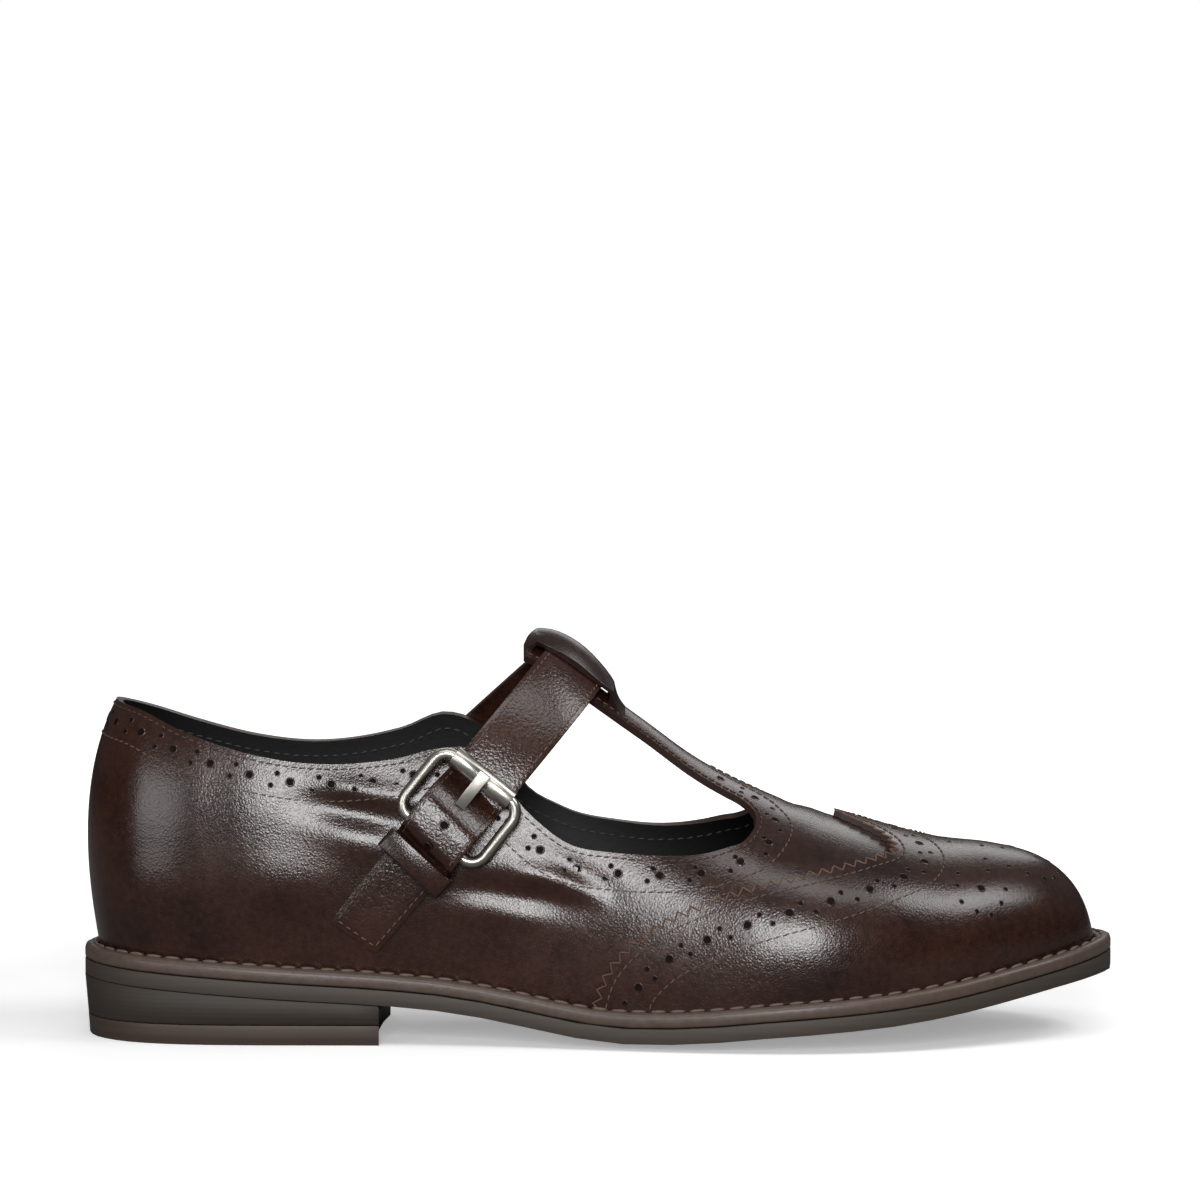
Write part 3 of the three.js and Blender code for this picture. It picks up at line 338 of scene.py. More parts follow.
def plain(name, colour, roughness, scale=900.0, depth=0.00012, spread=0.25):
    """A quiet finish with a slight mottle and a fine tooth."""
    finish = Finish(name)
    mottle = finish.noise(scale, 3, 0.6)
    low = tuple(c * (1 - spread) for c in colour)
    high = tuple(c * (1 + spread) for c in colour)
    finish.set(Base_Color=finish.blend(mottle, low, high), Roughness=roughness,
               Normal=finish.relief(mottle, TOOTH, depth))
    return finish.material


upper_leather = leather("burnished calf")

# Upper
# Quarters, vamp and bar in one hollow wall, closed by the sole below and open at the collar and
# at both sides of the bar. Folded edges, black lining.
WALL = 1.9
TOPLINE = np.array([
    # along, outer topline, inner topline, edge of the bar, in degrees up the rib
    [0.000, 51.5, 51.5, 72.0], [0.040, 49.6, 48.8, 72.0], [0.090, 44.6, 44.8, 72.0],
    [0.150, 40.0, 41.0, 72.0], [0.220, 37.6, 39.7, 72.0], [0.300, 38.3, 42.4, 72.0],
    [0.345, 40.6, 46.2, 72.0], [0.385, 40.8, 43.6, 72.0], [0.430, 31.8, 32.8, 72.0],
    [0.465, 28.6, 31.4, 71.8], [0.520, 30.8, 33.9, 72.4], [0.570, 34.9, 38.2, 72.0],
    [0.610, 40.2, 45.0, 70.4], [0.640, 46.6, 52.0, 69.2], [0.660, 51.0, 56.0, 68.4],
])
THROAT = 0.660
THROAT_MIDDLE = 61.0
THROAT_ROUND = 0.020
BAR_BACK = 0.430
SIDE_STEPS = 32
TOP_STEPS = 10
folded_edge = plain("folded edge", (0.030, 0.013, 0.010), 0.45)
lining_leather = plain("black lining leather", (0.0035, 0.0033, 0.0034), 0.55, 700.0, 0.0002)


def opening(turn, side):
    """The topline and the bar's edge, which meet round the front of the side opening."""
    along = along_of(turn)
    near = np.maximum(along - (THROAT - THROAT_ROUND), 0) / THROAT_ROUND
    close = 1 - np.sqrt(np.maximum(1 - near * near, 0))
    below = follow(TOPLINE[:, 0], TOPLINE[:, 1 if side == OUTER else 2], along)
    above = follow(TOPLINE[:, 0], TOPLINE[:, 3], along)
    return (np.radians(below + (THROAT_MIDDLE - below) * close),
            np.radians(above + (THROAT_MIDDLE - above) * close))


def sheet(name, grids, merge=1e-5):
    """A mesh of grids of points, each turned over where its flag is true."""
    verts = []
    faces = []
    start = 0
    for points, flip in grids:
        rows, columns = points.shape[:2]
        verts.append((points.reshape(-1, 3) - ORIGIN) / 1000)
        i = np.arange(rows - 1)[:, None] * columns + np.arange(columns - 1)[None] + start
        ring = np.stack([i, i + columns, i + columns + 1, i + 1], -1).reshape(-1, 4)
        faces.append(ring[:, ::-1] if flip else ring)
        start += rows * columns
    mesh = bpy.data.meshes.new(name)
    mesh.from_pydata(np.concatenate(verts).tolist(), [], np.concatenate(faces).tolist())
    work = bmesh.new()
    work.from_mesh(mesh)
    bmesh.ops.remove_doubles(work, verts=work.verts, dist=merge)
    bmesh.ops.dissolve_degenerate(work, edges=work.edges, dist=1e-7)
    work.to_mesh(mesh)
    work.free()
    piece = bpy.data.objects.new(name, mesh)
    bpy.context.scene.collection.objects.link(piece)
    return piece


def finish_with(piece, *modifiers):
    """Applies modifiers, given as kind and settings."""
    bpy.ops.object.select_all(action="DESELECT")
    bpy.context.view_layer.objects.active = piece
    piece.select_set(True)
    for kind, settings in modifiers:
        modifier = piece.modifiers.new(kind.lower(), kind)
        for key, value in settings.items():
            setattr(modifier, key, value)
        bpy.ops.object.modifier_apply(modifier=modifier.name)
    piece.select_set(False)


def smooth(piece, angle):
    bpy.ops.object.select_all(action="DESELECT")
    bpy.context.view_layer.objects.active = piece
    piece.select_set(True)
    bpy.ops.object.shade_smooth_by_angle(angle=math.radians(angle))
    piece.select_set(False)


def belongs(piece, slot, *nodes):
    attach(piece, "root")
    if nodes:
        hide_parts(*nodes)


def rib_grid(turns, low, high, steps, side):
    share = np.linspace(0, 1, steps + 1)[None]
    up = low[:, None] * (1 - share) + high[:, None] * share
    return skin(np.broadcast_to(turns[:, None], up.shape), up, side)


bar_turn = float(turn_of(BAR_BACK))
throat_turn = float(turn_of(THROAT))
quarter_turns = np.linspace(0, bar_turn, 64)
open_turns = bar_turn + (throat_turn - bar_turn) * np.sin(np.linspace(0, np.pi / 2, 40))
vamp_turns = np.linspace(throat_turn, np.pi, 70)
grids = []
for side in (OUTER, INNER):
    flip = side == INNER
    ring = np.concatenate([quarter_turns, open_turns[1:]])
    grids.append((rib_grid(ring, ring * 0, opening(ring, side)[0], SIDE_STEPS, side), flip))
    ridge = np.full(open_turns.shape, np.pi / 2)
    grids.append((rib_grid(open_turns, opening(open_turns, side)[1], ridge, TOP_STEPS, side), flip))
    join = np.full(vamp_turns.shape, np.radians(THROAT_MIDDLE))
    grids.append((rib_grid(vamp_turns, join * 0, join, SIDE_STEPS, side), flip))
    ridge = np.full(vamp_turns.shape, np.pi / 2)
    grids.append((rib_grid(vamp_turns, join, ridge, TOP_STEPS, side), flip))
upper = sheet("upper_leather", grids, 2e-5)
for material in (upper_leather, lining_leather, folded_edge):
    upper.data.materials.append(material)
finish_with(upper, ("SOLIDIFY", {
    "thickness": WALL / 1000, "offset": -1, "material_offset": 1, "material_offset_rim": 2}))
smooth(upper, 50)
belongs(upper, "upper", "upper")

# Bar loop
# The bar's top, folded back on itself into a loop that the instep strap runs through. Its leather
# is coloured darker as painted shade, and its edges arch down over the strap.
LOOP_FRONT = 0.530
LOOP_HEIGHT = 6.1
LOOP_THICK = 1.7
OVER_STRAP = 2.6
LOOP_SLIM = 3.0
LOOP_ARCH = 1.7
LOOP_INSET = 1
LOOP_ROWS = 13
LOOP = np.array([
    # share of its length, height of its top, hollow
    [0.00, 0.00, 0], [0.08, 0.12, 0], [0.14, 0.34, 0], [0.18, 0.52, 0], [0.19, 0.56, 1], [0.30, 0.80, 1],
    [0.48, 0.97, 1], [0.60, 1.00, 1], [0.73, 0.95, 1], [0.84, 0.82, 1], [0.935, 0.62, 1],
    [0.945, 0.58, 0], [0.975, 0.38, 0], [1.00, 0.10, 0],
])


def rounded(width, segments, angle):
    """A modifier that rounds the edges that are sharper than an angle."""
    return ("BEVEL", {"width": width, "segments": segments, "limit_method": "ANGLE",
                      "angle_limit": math.radians(angle)})


# The loop's darker base colour is painted shade for its side, which sits in shade.
loop_leather_painted_shade = leather(
    "loop calf", dark=(0.0060, 0.0022, 0.0018), warm=(0.024, 0.0088, 0.0058), dullest=0.42)
tops = []
unders = []
for share, top, hollow in LOOP:
    turn = float(turn_of(LOOP_FRONT + (BAR_BACK - LOOP_FRONT) * share))
    slim = LOOP_SLIM * min(max((share - 0.04) / 0.14, 0), 1)
    edge = float(opening(np.array([turn]), OUTER)[1][0]) + math.radians(LOOP_INSET + slim)
    ups = np.linspace(edge, np.pi - edge, LOOP_ROWS)
    sides = np.where(ups <= np.pi / 2, OUTER, INNER)
    angles = np.where(ups <= np.pi / 2, ups, np.pi - ups)
    arch = np.linspace(-1, 1, LOOP_ROWS) ** 2
    height = top * (LOOP_HEIGHT - LOOP_ARCH * arch)[:, None]
    under = np.maximum(height - LOOP_THICK, OVER_STRAP) if hollow else np.full(height.shape, -WALL / 2)
    turns = np.full(ups.shape, turn)
    place = last_point(turns, angles, sides)
    away = last_normal(turns, angles, sides)
    tops.append(place + away * np.maximum(height, under + LOOP_THICK * 0.6))
    unders.append(place + away * under)
tops = np.array(tops)
unders = np.array(unders)
edges = [np.stack([tops[:, k], unders[:, k]]) for k in (0, -1)]
ends = [np.stack([tops[k], unders[k]]) for k in (0, -1)]
loop = sheet("bar_loop", [(tops, False), (unders, True), (edges[0], False), (edges[1], True),
                          (ends[0], True), (ends[1], False)])
work = bmesh.new()
work.from_mesh(loop.data)
bmesh.ops.recalc_face_normals(work, faces=work.faces)
work.to_mesh(loop.data)
work.free()
loop.data.materials.append(loop_leather_painted_shade)
finish_with(loop, rounded(0.0005, 2, 50), ("SUBSURF", {"levels": 1, "render_levels": 1}))
smooth(loop, 50)
belongs(loop, "upper")

# Wing cap
# A second layer over the vamp that runs back along both sides, sewn on with two rows of stitches
# and perforated between them. Its back edge is pinked into teeth that show the raw leather.
CAP_GAP = 0.6
CAP_THICK = 1.1
CAP_TOP = CAP_GAP + CAP_THICK
PINK = 3.4
PINK_DEPTH = 1.9
PINK_MARGIN = 2.2
TOOTH_STEPS = 6
MARGIN_COLUMNS = 5
CAP_COLUMNS = 58
EDGE_PLACES = 900
NEAR_SOLE = 9
NEAR_RIDGE = 68
RIDGE_FADE = 14
RAW_EDGE_RADIUS = 0.00024
RAW_EDGE_OUT = 0.02
WING = np.array([
    # degrees up the rib, along
    [0, 0.494], [8, 0.510], [14, 0.536], [20, 0.570], [26, 0.609], [32, 0.649], [39, 0.697], [46, 0.739],
    [52, 0.767], [57, 0.785], [62, 0.792], [67, 0.791], [73, 0.783], [79, 0.766], [84, 0.749], [90, 0.738],
])


def moved(turn, up, side, distance, steps=6):
    """A line on the last moved sideways over its surface, to its left as seen from outside."""
    step = 1e-3
    for _ in range(steps):
        place = last_point(turn, up, side)
        line = np.gradient(place, axis=0)
        line /= np.maximum(np.linalg.norm(line, axis=1, keepdims=True), 1e-9)
        left = np.cross(last_normal(turn, up, side), line)
        by_turn = (last_point(turn + step, up, side) - place) / step
        by_up = (last_point(turn, up + step, side) - place) / step
        target = left * np.reshape(distance, (-1, 1)) / steps
        # the mix of a step in turn and a step in up that makes the target step
        a = (by_turn * by_turn).sum(1)
        b = (by_turn * by_up).sum(1)
        c = (by_up * by_up).sum(1)
        p = (target * by_turn).sum(1)
        q = (target * by_up).sum(1)
        det = np.maximum(a * c - b * b, 1e-9)
        turn = np.clip(turn + (p * c - q * b) / det, 0, np.pi)
        up = np.clip(up + (q * a - p * b) / det, 0, np.pi / 2)
    return turn, up


def beside(turn, up, side, distance, steps):
    """A line beside the cap's edge that stays on its ribs near the sole and near the ridge."""
    near_turn, near_up = moved(turn, up, side, distance * side, steps)
    straight = turn_of(along_of(turn) + distance / LAST)
    degrees = np.degrees(up)
    hold = np.clip((degrees - NEAR_RIDGE) / RIDGE_FADE, 0, 1) + np.clip(1 - degrees / NEAR_SOLE, 0, 1)
    return near_turn * (1 - hold) + straight * hold, near_up * (1 - hold) + up * hold


def wing_line(side):
    """The cap's edge from the sole to the ridge: turn, up, and how far along the edge each place is."""
    up = np.linspace(0, np.pi / 2, EDGE_PLACES)
    turn = turn_of(follow(WING[:, 0], WING[:, 1], np.degrees(up)) + PINK_DEPTH / LAST)
    place = skin(turn, up, side)
    run = np.concatenate([[0], np.cumsum(np.linalg.norm(np.diff(place, axis=0), axis=1))])
    return turn, up, run


cap_leather = leather("burnished cap calf", dark=(0.0080, 0.0028, 0.0023), warm=(0.044, 0.0155, 0.0092))
cut_edge = plain("cut leather edge", (0.125, 0.066, 0.044), 0.62)
cap_grids = []
cap_rest = []
for side in (OUTER, INNER):
    turn, up, run = wing_line(side)
    teeth = round(run[-1] / PINK)
    at = np.linspace(0, run[-1], teeth * TOOTH_STEPS + 1)
    cap_up = np.interp(at, run, up)
    tooth = np.abs(((at / run[-1] * teeth) % 1) - 0.5) * 2
    base = np.interp(at, run, turn)
    edge_turn, edge_up = beside(base, cap_up, side, (tooth - 1) * PINK_DEPTH, 1)
    line_turn, line_up = beside(base, cap_up, side, np.full(at.shape, PINK_MARGIN), 3)
    share = np.linspace(0, 1, MARGIN_COLUMNS)[None]
    rows = [column[:, None] * (1 - share) + line[:, None] * share
            for column, line in ((edge_turn, line_turn), (edge_up, line_up))]
    cap_grids.append((skin(*rows, side, CAP_TOP), side == OUTER))
    share = np.linspace(0, 1, CAP_COLUMNS)[None]
    cap_turn = line_turn[:, None] * (1 - share) + np.pi * share
    rest = skin(cap_turn, np.broadcast_to(line_up[:, None], cap_turn.shape), side, CAP_TOP)
    cap_rest.append((rest, side == OUTER))
cap = sheet("wing_cap_leather", cap_grids + cap_rest)
for material in (cap_leather, cap_leather, folded_edge):
    cap.data.materials.append(material)
finish_with(cap, ("SOLIDIFY", {
    "thickness": (CAP_TOP - 0.1) / 1000, "offset": -1, "material_offset": 1, "material_offset_rim": 2}))
smooth(cap, 50)
belongs(cap, "wing_cap", "wing_cap")

raw_edges = []
for points, _ in cap_grids:
    line = points[:, 0] + (points[:, 0] - points[:, 1]) * RAW_EDGE_OUT
    curve = bpy.data.curves.new("raw_edge", "CURVE")
    curve.dimensions = "3D"
    curve.bevel_depth = RAW_EDGE_RADIUS
    curve.bevel_resolution = 1
    spline = curve.splines.new("POLY")
    spline.points.add(len(line) - 1)
    for point, place in zip(spline.points, (line - ORIGIN) / 1000):
        point.co = (*place, 1)
    raw_edges.append(bpy.data.objects.new("raw_edge", curve))
    bpy.context.scene.collection.objects.link(raw_edges[-1])
bpy.ops.object.select_all(action="DESELECT")
for edge in raw_edges:
    edge.select_set(True)
bpy.context.view_layer.objects.active = raw_edges[0]
bpy.ops.object.convert(target="MESH")
bpy.ops.object.join()
pinked = bpy.context.object
pinked.name = "pinked_raw_edge"
pinked.data.materials.clear()
pinked.data.materials.append(cut_edge)
smooth(pinked, 60)
belongs(pinked, "wing_cap")

# Perforations
# Brogue holes are punched through the top layer only: each is a dark disc of painted shade, just over
# the leather, inside a lip that the punch turned up a little.
HOLE_SIDES = 14
HOLE_PITCH = 10.4
BIG_HOLE = 1.0
CAP_BIG_HOLE = 1.05
SMALL_HOLE = 0.62
LIP = [
    # share of the hole's radius, height over the leather
    (0.80, 0.05), (0.98, 0.13), (1.12, 0.12), (1.34, -0.06),
]
BAR_PLAIN = 0.615
BAR_SIDE = np.radians(56)
NO_HOLE_FACES = [0.31, 0.22, 0.92]
# Painted shade: the hole's disc is dark and barely reflects, standing in for the shaded inside of a hole.
hole_painted_shade = plain("hole floor", (0.006, 0.003, 0.0025), 0.7)
hole_painted_shade.node_tree.nodes["Principled BSDF"].inputs["Specular IOR Level"].default_value = 0.1


def punched(name, slot, holes):
    """Holes as rows of place, direction and radius."""
    turns = np.arange(HOLE_SIDES) * 2 * np.pi / HOLE_SIDES
    verts = []
    faces = []
    dark = []
    for place, away, radius in holes:
        side_x = np.cross(away, NO_HOLE_FACES)
        side_x /= np.linalg.norm(side_x)
        side_y = np.cross(away, side_x)
        base = len(verts)
        for share, height in LIP:
            for a in turns:
                spot = place + (side_x * math.cos(a) + side_y * math.sin(a)) * radius * share
                verts.append((spot + away * height * min(1, radius) - ORIGIN) / 1000)
        # The middle disc and its first ring carry the painted hole shade; the lip carries the upper's
        # leather.
        faces.append([base + k for k in range(HOLE_SIDES)])
        dark.append(True)
        for r in range(len(LIP) - 1):
            for k in range(HOLE_SIDES):
                n = (k + 1) % HOLE_SIDES
                ring = base + r * HOLE_SIDES
                faces.append([ring + k, ring + HOLE_SIDES + k, ring + HOLE_SIDES + n, ring + n])
                dark.append(r == 0)
    mesh = bpy.data.meshes.new(name)
    mesh.from_pydata([tuple(v) for v in verts], [], faces)
    for polygon, is_dark in zip(mesh.polygons, dark):
        polygon.material_index = 0 if is_dark else 1
    piece = bpy.data.objects.new(name, mesh)
    bpy.context.scene.collection.objects.link(piece)
    mesh.materials.append(hole_painted_shade)
    mesh.materials.append(upper_leather)
    smooth(piece, 60)
    belongs(piece, slot)


def evenly(turn, up, side, start):
    """Places for holes at their pitch along a line on the last."""
    place = last_point(turn, up, side)
    run = np.concatenate([[0], np.cumsum(np.linalg.norm(np.diff(place, axis=0), axis=1))])
    count = int(run[-1] / HOLE_PITCH)
    at = (np.arange(count) + start) * run[-1] / count
    return np.interp(at, run, turn), np.interp(at, run, up)


def holes_on(turn, up, side, off, radius):
    place = skin(turn, up, side, off)
    away = last_normal(turn, up, side)
    return [(p, n, radius) for p, n in zip(place, away)]


def off_bar(turn, up):
    """Which places are away from the upper part of the bar, which is left plain."""
    return (along_of(turn) > BAR_PLAIN) | (up < BAR_SIDE)


def band_line(side):
    """The whole edge of the opening: the topline to the throat, then back along the bar."""
    ring = np.concatenate([np.linspace(0.0, bar_turn, 120), bar_turn + (throat_turn - bar_turn)
                           * np.sin(np.linspace(0, np.pi / 2, 110))[1:]])
    back = ring[ring >= bar_turn][::-1][1:]
    turn = np.concatenate([ring, back])
    up = np.concatenate([opening(ring, side)[0], opening(back, side)[1]])
    return turn, up


collar_holes = []
for side in (OUTER, INNER):
    turn, up = band_line(side)
    for away, start, radius in ((5.1, 0.25, BIG_HOLE), (3.4, 0.75, SMALL_HOLE), (6.6, 0.75, SMALL_HOLE)):
        at_turn, at_up = evenly(*moved(turn, up, side, away * side), side, start)
        keep = off_bar(at_turn, at_up)
        collar_holes += holes_on(at_turn[keep], at_up[keep], side, 0, radius)
punched("collar_perforations", "upper", collar_holes)

cap_holes = []
for side in (OUTER, INNER):
    turn, up = wing_line(side)[:2]
    for away, start, radius in ((7.4, 0.55, CAP_BIG_HOLE), (5.9, 0.02, SMALL_HOLE), (8.9, 0.02, SMALL_HOLE)):
        places = evenly(*moved(turn, up, side, away * side), side, start)
        cap_holes += holes_on(*places, side, CAP_TOP, radius)

MEDALLION = np.array([
    # along, degrees up the rib, radius, on both sides of the ridge
    [0.8792, 43.1, 1.05], [0.8582, 51.9, 0.6], [0.8555, 44.7, 0.6], [0.8582, 36.4, 0.6],
    [0.8731, 31.4, 0.6], [0.8872, 29.2, 0.6], [0.8987, 34.8, 0.6], [0.9043, 42.5, 0.6],
    [0.8891, 54.1, 0.6], [0.8891, 63.0, 0.6], [0.8891, 78.5, 0.6], [0.9115, 58.6, 0.6],
    [0.9097, 79.6, 0.6], [0.9299, 54.7, 0.6], [0.9463, 53.6, 0.6], [0.9570, 59.1, 0.6],
    [0.9640, 71.8, 0.6], [0.9435, 78.0, 0.6], [0.8561, 80.0, 0.6], [0.8380, 86.0, 0.6],
])
for side in (OUTER, INNER):
    for along, up, radius in MEDALLION:
        cap_holes += holes_on(turn_of(np.array([along])), np.radians([up]), side, CAP_TOP, radius)
ON_RIDGE = ((0.9200, 1.05), (0.9570, 0.6))
for along, radius in ON_RIDGE:
    cap_holes += holes_on(turn_of(np.array([along])), np.array([np.pi / 2]), OUTER, CAP_TOP, radius)
punched("cap_perforations", "wing_cap", cap_holes)

# Stitches
# Waxed thread, a shade lighter than the leather, pulled down into it at the end of each stitch.
# Rows run along the topline, round the brogued band, on the cap and inside the lining.
STITCH_PITCH = 2.2
STITCH_LENGTH = 1.85
FINE_PITCH = 2.1
FINE_LENGTH = 1.75
STITCH_INSET = 1.3
BAND_WIDTH = 9.4
CAP_ROWS = (1.6, 12.4)
LINING_INSET = 4.2
BAND_STOP = np.radians(88.5)
CAP_STOP = np.radians(89.6)
thread = plain("brown waxed thread", (0.105, 0.066, 0.048), 0.5)
dark_thread = plain("dark thread", (0.062, 0.036, 0.027), 0.5)
lining_thread = plain("grey lining thread", (0.036, 0.034, 0.030), 0.6)
bpy.ops.mesh.primitive_uv_sphere_add(segments=8, ring_count=5, radius=0.5)
bead = bpy.context.object
BEAD_VERTS = np.array([v.co[:] for v in bead.data.vertices])
BEAD_FACES = [list(p.vertices) for p in bead.data.polygons]
bpy.data.objects.remove(bead)


def sewn(name, slot, lines, material, pitch, length, breadth=0.44, height=0.42, sunk=0.09):
    """Rows of stitches along lines of places and directions away from the leather."""
    verts = []
    faces = []
    for place, away in lines:
        run = np.concatenate([[0], np.cumsum(np.linalg.norm(np.diff(place, axis=0), axis=1))])
        count = max(int(run[-1] / pitch), 1)
        at = (np.arange(count) + 0.5) * run[-1] / count
        spot = np.stack([np.interp(at, run, place[:, k]) for k in range(3)], 1)
        tip = np.stack([np.interp(at + 0.3, run, place[:, k]) for k in range(3)], 1)
        tail = np.stack([np.interp(at - 0.3, run, place[:, k]) for k in range(3)], 1)
        out = np.stack([np.interp(at, run, away[:, k]) for k in range(3)], 1)
        out /= np.linalg.norm(out, axis=1, keepdims=True)
        line = tip - tail
        line /= np.maximum(np.linalg.norm(line, axis=1, keepdims=True), 1e-9)
        cross = np.cross(out, line)
        for c, u, v, w in zip(spot, line, cross, out):
            base = len(verts)
            slant = u + v * 0.10
            points = (c + w * sunk + BEAD_VERTS[:, :1] * slant * length
                      + BEAD_VERTS[:, 1:2] * v * breadth + BEAD_VERTS[:, 2:] * w * height)
            verts.extend(((points - ORIGIN) / 1000).tolist())
            faces.extend([[base + i for i in f] for f in BEAD_FACES])
    mesh = bpy.data.meshes.new(name)
    mesh.from_pydata(verts, [], faces)
    piece = bpy.data.objects.new(name, mesh)
    bpy.context.scene.collection.objects.link(piece)
    mesh.materials.append(material)
    smooth(piece, 80)
    belongs(piece, slot)


def line_on(turn, up, side, off=0.0):
    """A row's places and directions on the upper, moved off it."""
    return skin(turn, up, side, off), last_normal(turn, up, side)


edge_rows = []
band_rows = []
cap_rows = []
for side in (OUTER, INNER):
    turn, up = band_line(side)
    edge_rows.append(line_on(*moved(turn, up, side, STITCH_INSET * side), side))
    band_turn, band_up = moved(turn, up, side, BAND_WIDTH * side, 10)
    keep = off_bar(band_turn, band_up) & (band_up < BAND_STOP)
    band_rows.append(line_on(band_turn[keep], band_up[keep], side))
    turn, up = wing_line(side)[:2]
    for away in CAP_ROWS:
        cap_turn, cap_up = moved(turn, up, side, away * side, 10)
        keep = cap_up < CAP_STOP
        cap_rows.append(line_on(cap_turn[keep], cap_up[keep], side, CAP_TOP))
sewn("topline_stitches", "upper", edge_rows, dark_thread, FINE_PITCH, FINE_LENGTH)
sewn("collar_stitches", "upper", band_rows, thread, STITCH_PITCH, STITCH_LENGTH)
sewn("cap_stitches", "wing_cap", cap_rows, thread, STITCH_PITCH, STITCH_LENGTH)

lining_rows = []
for side in (OUTER, INNER):
    turn, up = band_line(side)
    keep = off_bar(turn, up)
    inside_turn, inside_up = moved(turn, up, side, side * LINING_INSET, 8)
    place, away = line_on(inside_turn[keep], inside_up[keep], side, -WALL - 0.05)
    lining_rows.append((place, -away))
sewn("lining_stitches", "upper", lining_rows, lining_thread, pitch=2.6, length=2.0,
     breadth=0.45, height=0.36, sunk=0.02)

# Instep strap
# Sewn to the inner quarter, it runs through the bar's loop, down over the outer side, under the
# roller, over the prong's bar and through the keeper. Each of its fibres lies in a slanting plane.
STRAP_WIDTH = 17.0
STRAP_THICK = 1.8
STRAP_GAP = 0.5
STRAP_CROWN = 0.12
STRAP_RIDGE = 0.4850
STRAP_RISE = 3.2
STRAP_END_INSET = 1.5
OUTER_SLOPE = math.radians(50)
INNER_SLOPE = math.radians(42)
CENTRE_DEPTH = 35.0
HOLE_AT = 46.5
PIVOT_AT = 56.5
TAIL_END = 67.6
STITCHED_END = 76.0
BASE_END = 89.5
TAIL_HOLES = (
    # distance down from the ridge, radius
    (HOLE_AT - 1.2, 1.25), (52.6, 1.1), (59.0, 1.1),
)
strap_top = last_point(turn_of(STRAP_RIDGE), np.pi / 2, OUTER) + [0, 0, STRAP_RISE]
ACROSS = (math.sin(OUTER_SLOPE), -math.cos(OUTER_SLOPE))
DOWN = {OUTER: (-math.cos(OUTER_SLOPE), -math.sin(OUTER_SLOPE)),
        INNER: (-math.cos(INNER_SLOPE), -math.sin(INNER_SLOPE))}
LIFT = np.array([
    # distance down from the ridge, height over the upper
    [0.0, STRAP_GAP], [40.8, STRAP_GAP], [44.5, 2.71], [47.5, 5.52], [50.5, 7.51], [54.0, 7.88],
    [57.0, 7.88], [59.1, 7.22], [60.7, 4.59], [61.9, 3.80], [67.6, 3.80],
])


def lifted(distance):
    """The strap's height over the upper, easing from row to row without passing them."""
    xs, ys = LIFT.T
    rate = np.diff(ys) / np.diff(xs)
    before = rate[:-1]
    after = rate[1:]
    total = np.where(before + after == 0, 1, before + after)
    inner = np.where(before * after > 0, 2 * before * after / total, 0)
    return curve_through(xs, ys, np.concatenate([[0], inner, [0]]), distance)


def half_width(x, z, side):
    """How wide the last is at a place of the side view, from its middle to one side."""
    turn = turn_of((x - BACK) / LAST)
    foot_x, foot_y = feather(turn, side)
    half = np.hypot(foot_x - spine(foot_x), foot_y - lean(foot_x))
    s = np.clip((z - seam_height(foot_x) - OVER_SEAM) / station(3, turn), 0, 1) ** (1 / station(7, turn))
    c = np.sqrt(np.maximum(1 - s * s, 0))
    belly = station(5 if side < 0 else 6, turn)
    out = half * c * (1 - station(4, turn) * s) + belly * BELLY_BULGE * s * c * c
    return np.where(s >= 1, -1, out)


def fibre(side, swing, across):
    """A place on the upper under the strap: swing is the angle round from the ridge."""
    swing, across = np.broadcast_arrays(np.asarray(swing, float), np.asarray(across, float))
    down = DOWN[side]

    def at(r):
        depth = CENTRE_DEPTH - r * np.cos(swing)
        x = strap_top[0] + depth * down[0] + across * ACROSS[0]
        z = strap_top[2] + depth * down[1] + across * ACROSS[1]
        return np.stack([x, lean(x) + side * r * np.sin(swing), z], -1)
    low = np.zeros(swing.shape)
    high = np.full(swing.shape, 120.0)
    for _ in range(34):
        middle = (low + high) / 2
        p = at(middle)
        inside = half_width(p[..., 0], p[..., 2], side) > np.abs(p[..., 1] - lean(p[..., 0]))
        low = np.where(inside, middle, low)
        high = np.where(inside, high, middle)
    return at(low)


def fibre_normal(side, swing, across):
    """Straight away from the upper at a place under the strap."""
    swing = np.maximum(swing, 0.02)
    round_ = fibre(side, swing + 0.02, across) - fibre(side, swing - 0.02, across)
    along = fibre(side, swing, np.asarray(across) + 1.0) - fibre(side, swing, np.asarray(across) - 1.0)
    n = np.cross(along, round_) * side
    return n / np.linalg.norm(n, axis=-1, keepdims=True)


def swing_at(side, distance):
    """The angle round from the ridge to a distance down the strap."""
    low = np.zeros(np.shape(distance))
    high = np.full(np.shape(distance), math.radians(170))
    for _ in range(26):
        middle = (low + high) / 2
        down = (fibre(side, middle, 0)[..., 0] - strap_top[0]) / DOWN[side][0]
        low = np.where(down < distance, middle, low)
        high = np.where(down < distance, high, middle)
    return (low + high) / 2


def on_strap(side, swing, across, off):
    off = np.broadcast_to(off, np.broadcast(swing, across).shape)
    return fibre(side, swing, across) + fibre_normal(side, swing, across) * off[..., None]


strap_leather = leather("creased strap calf", grain=0.95, wrinkle=0.9)
inner_swings = np.linspace(float(swing_at(INNER, np.array(STITCHED_END))), 0, 60)
outer_distances = np.linspace(0, TAIL_END, 130)[1:]
outer_swings = swing_at(OUTER, outer_distances)
acrosses = np.linspace(-STRAP_WIDTH / 2, STRAP_WIDTH / 2, 15)
crown = STRAP_CROWN * (1 - (acrosses / (STRAP_WIDTH / 2)) ** 4)
top_inner = on_strap(INNER, inner_swings[:, None], acrosses[None], STRAP_GAP + STRAP_THICK + crown[None])
lift = lifted(outer_distances)[:, None] + STRAP_THICK + crown[None]
top_outer = on_strap(OUTER, outer_swings[:, None], acrosses[None], lift)
strap = sheet("instep_strap", [(np.concatenate([top_inner, top_outer]), False)])
for material in (strap_leather, strap_leather, folded_edge):
    strap.data.materials.append(material)
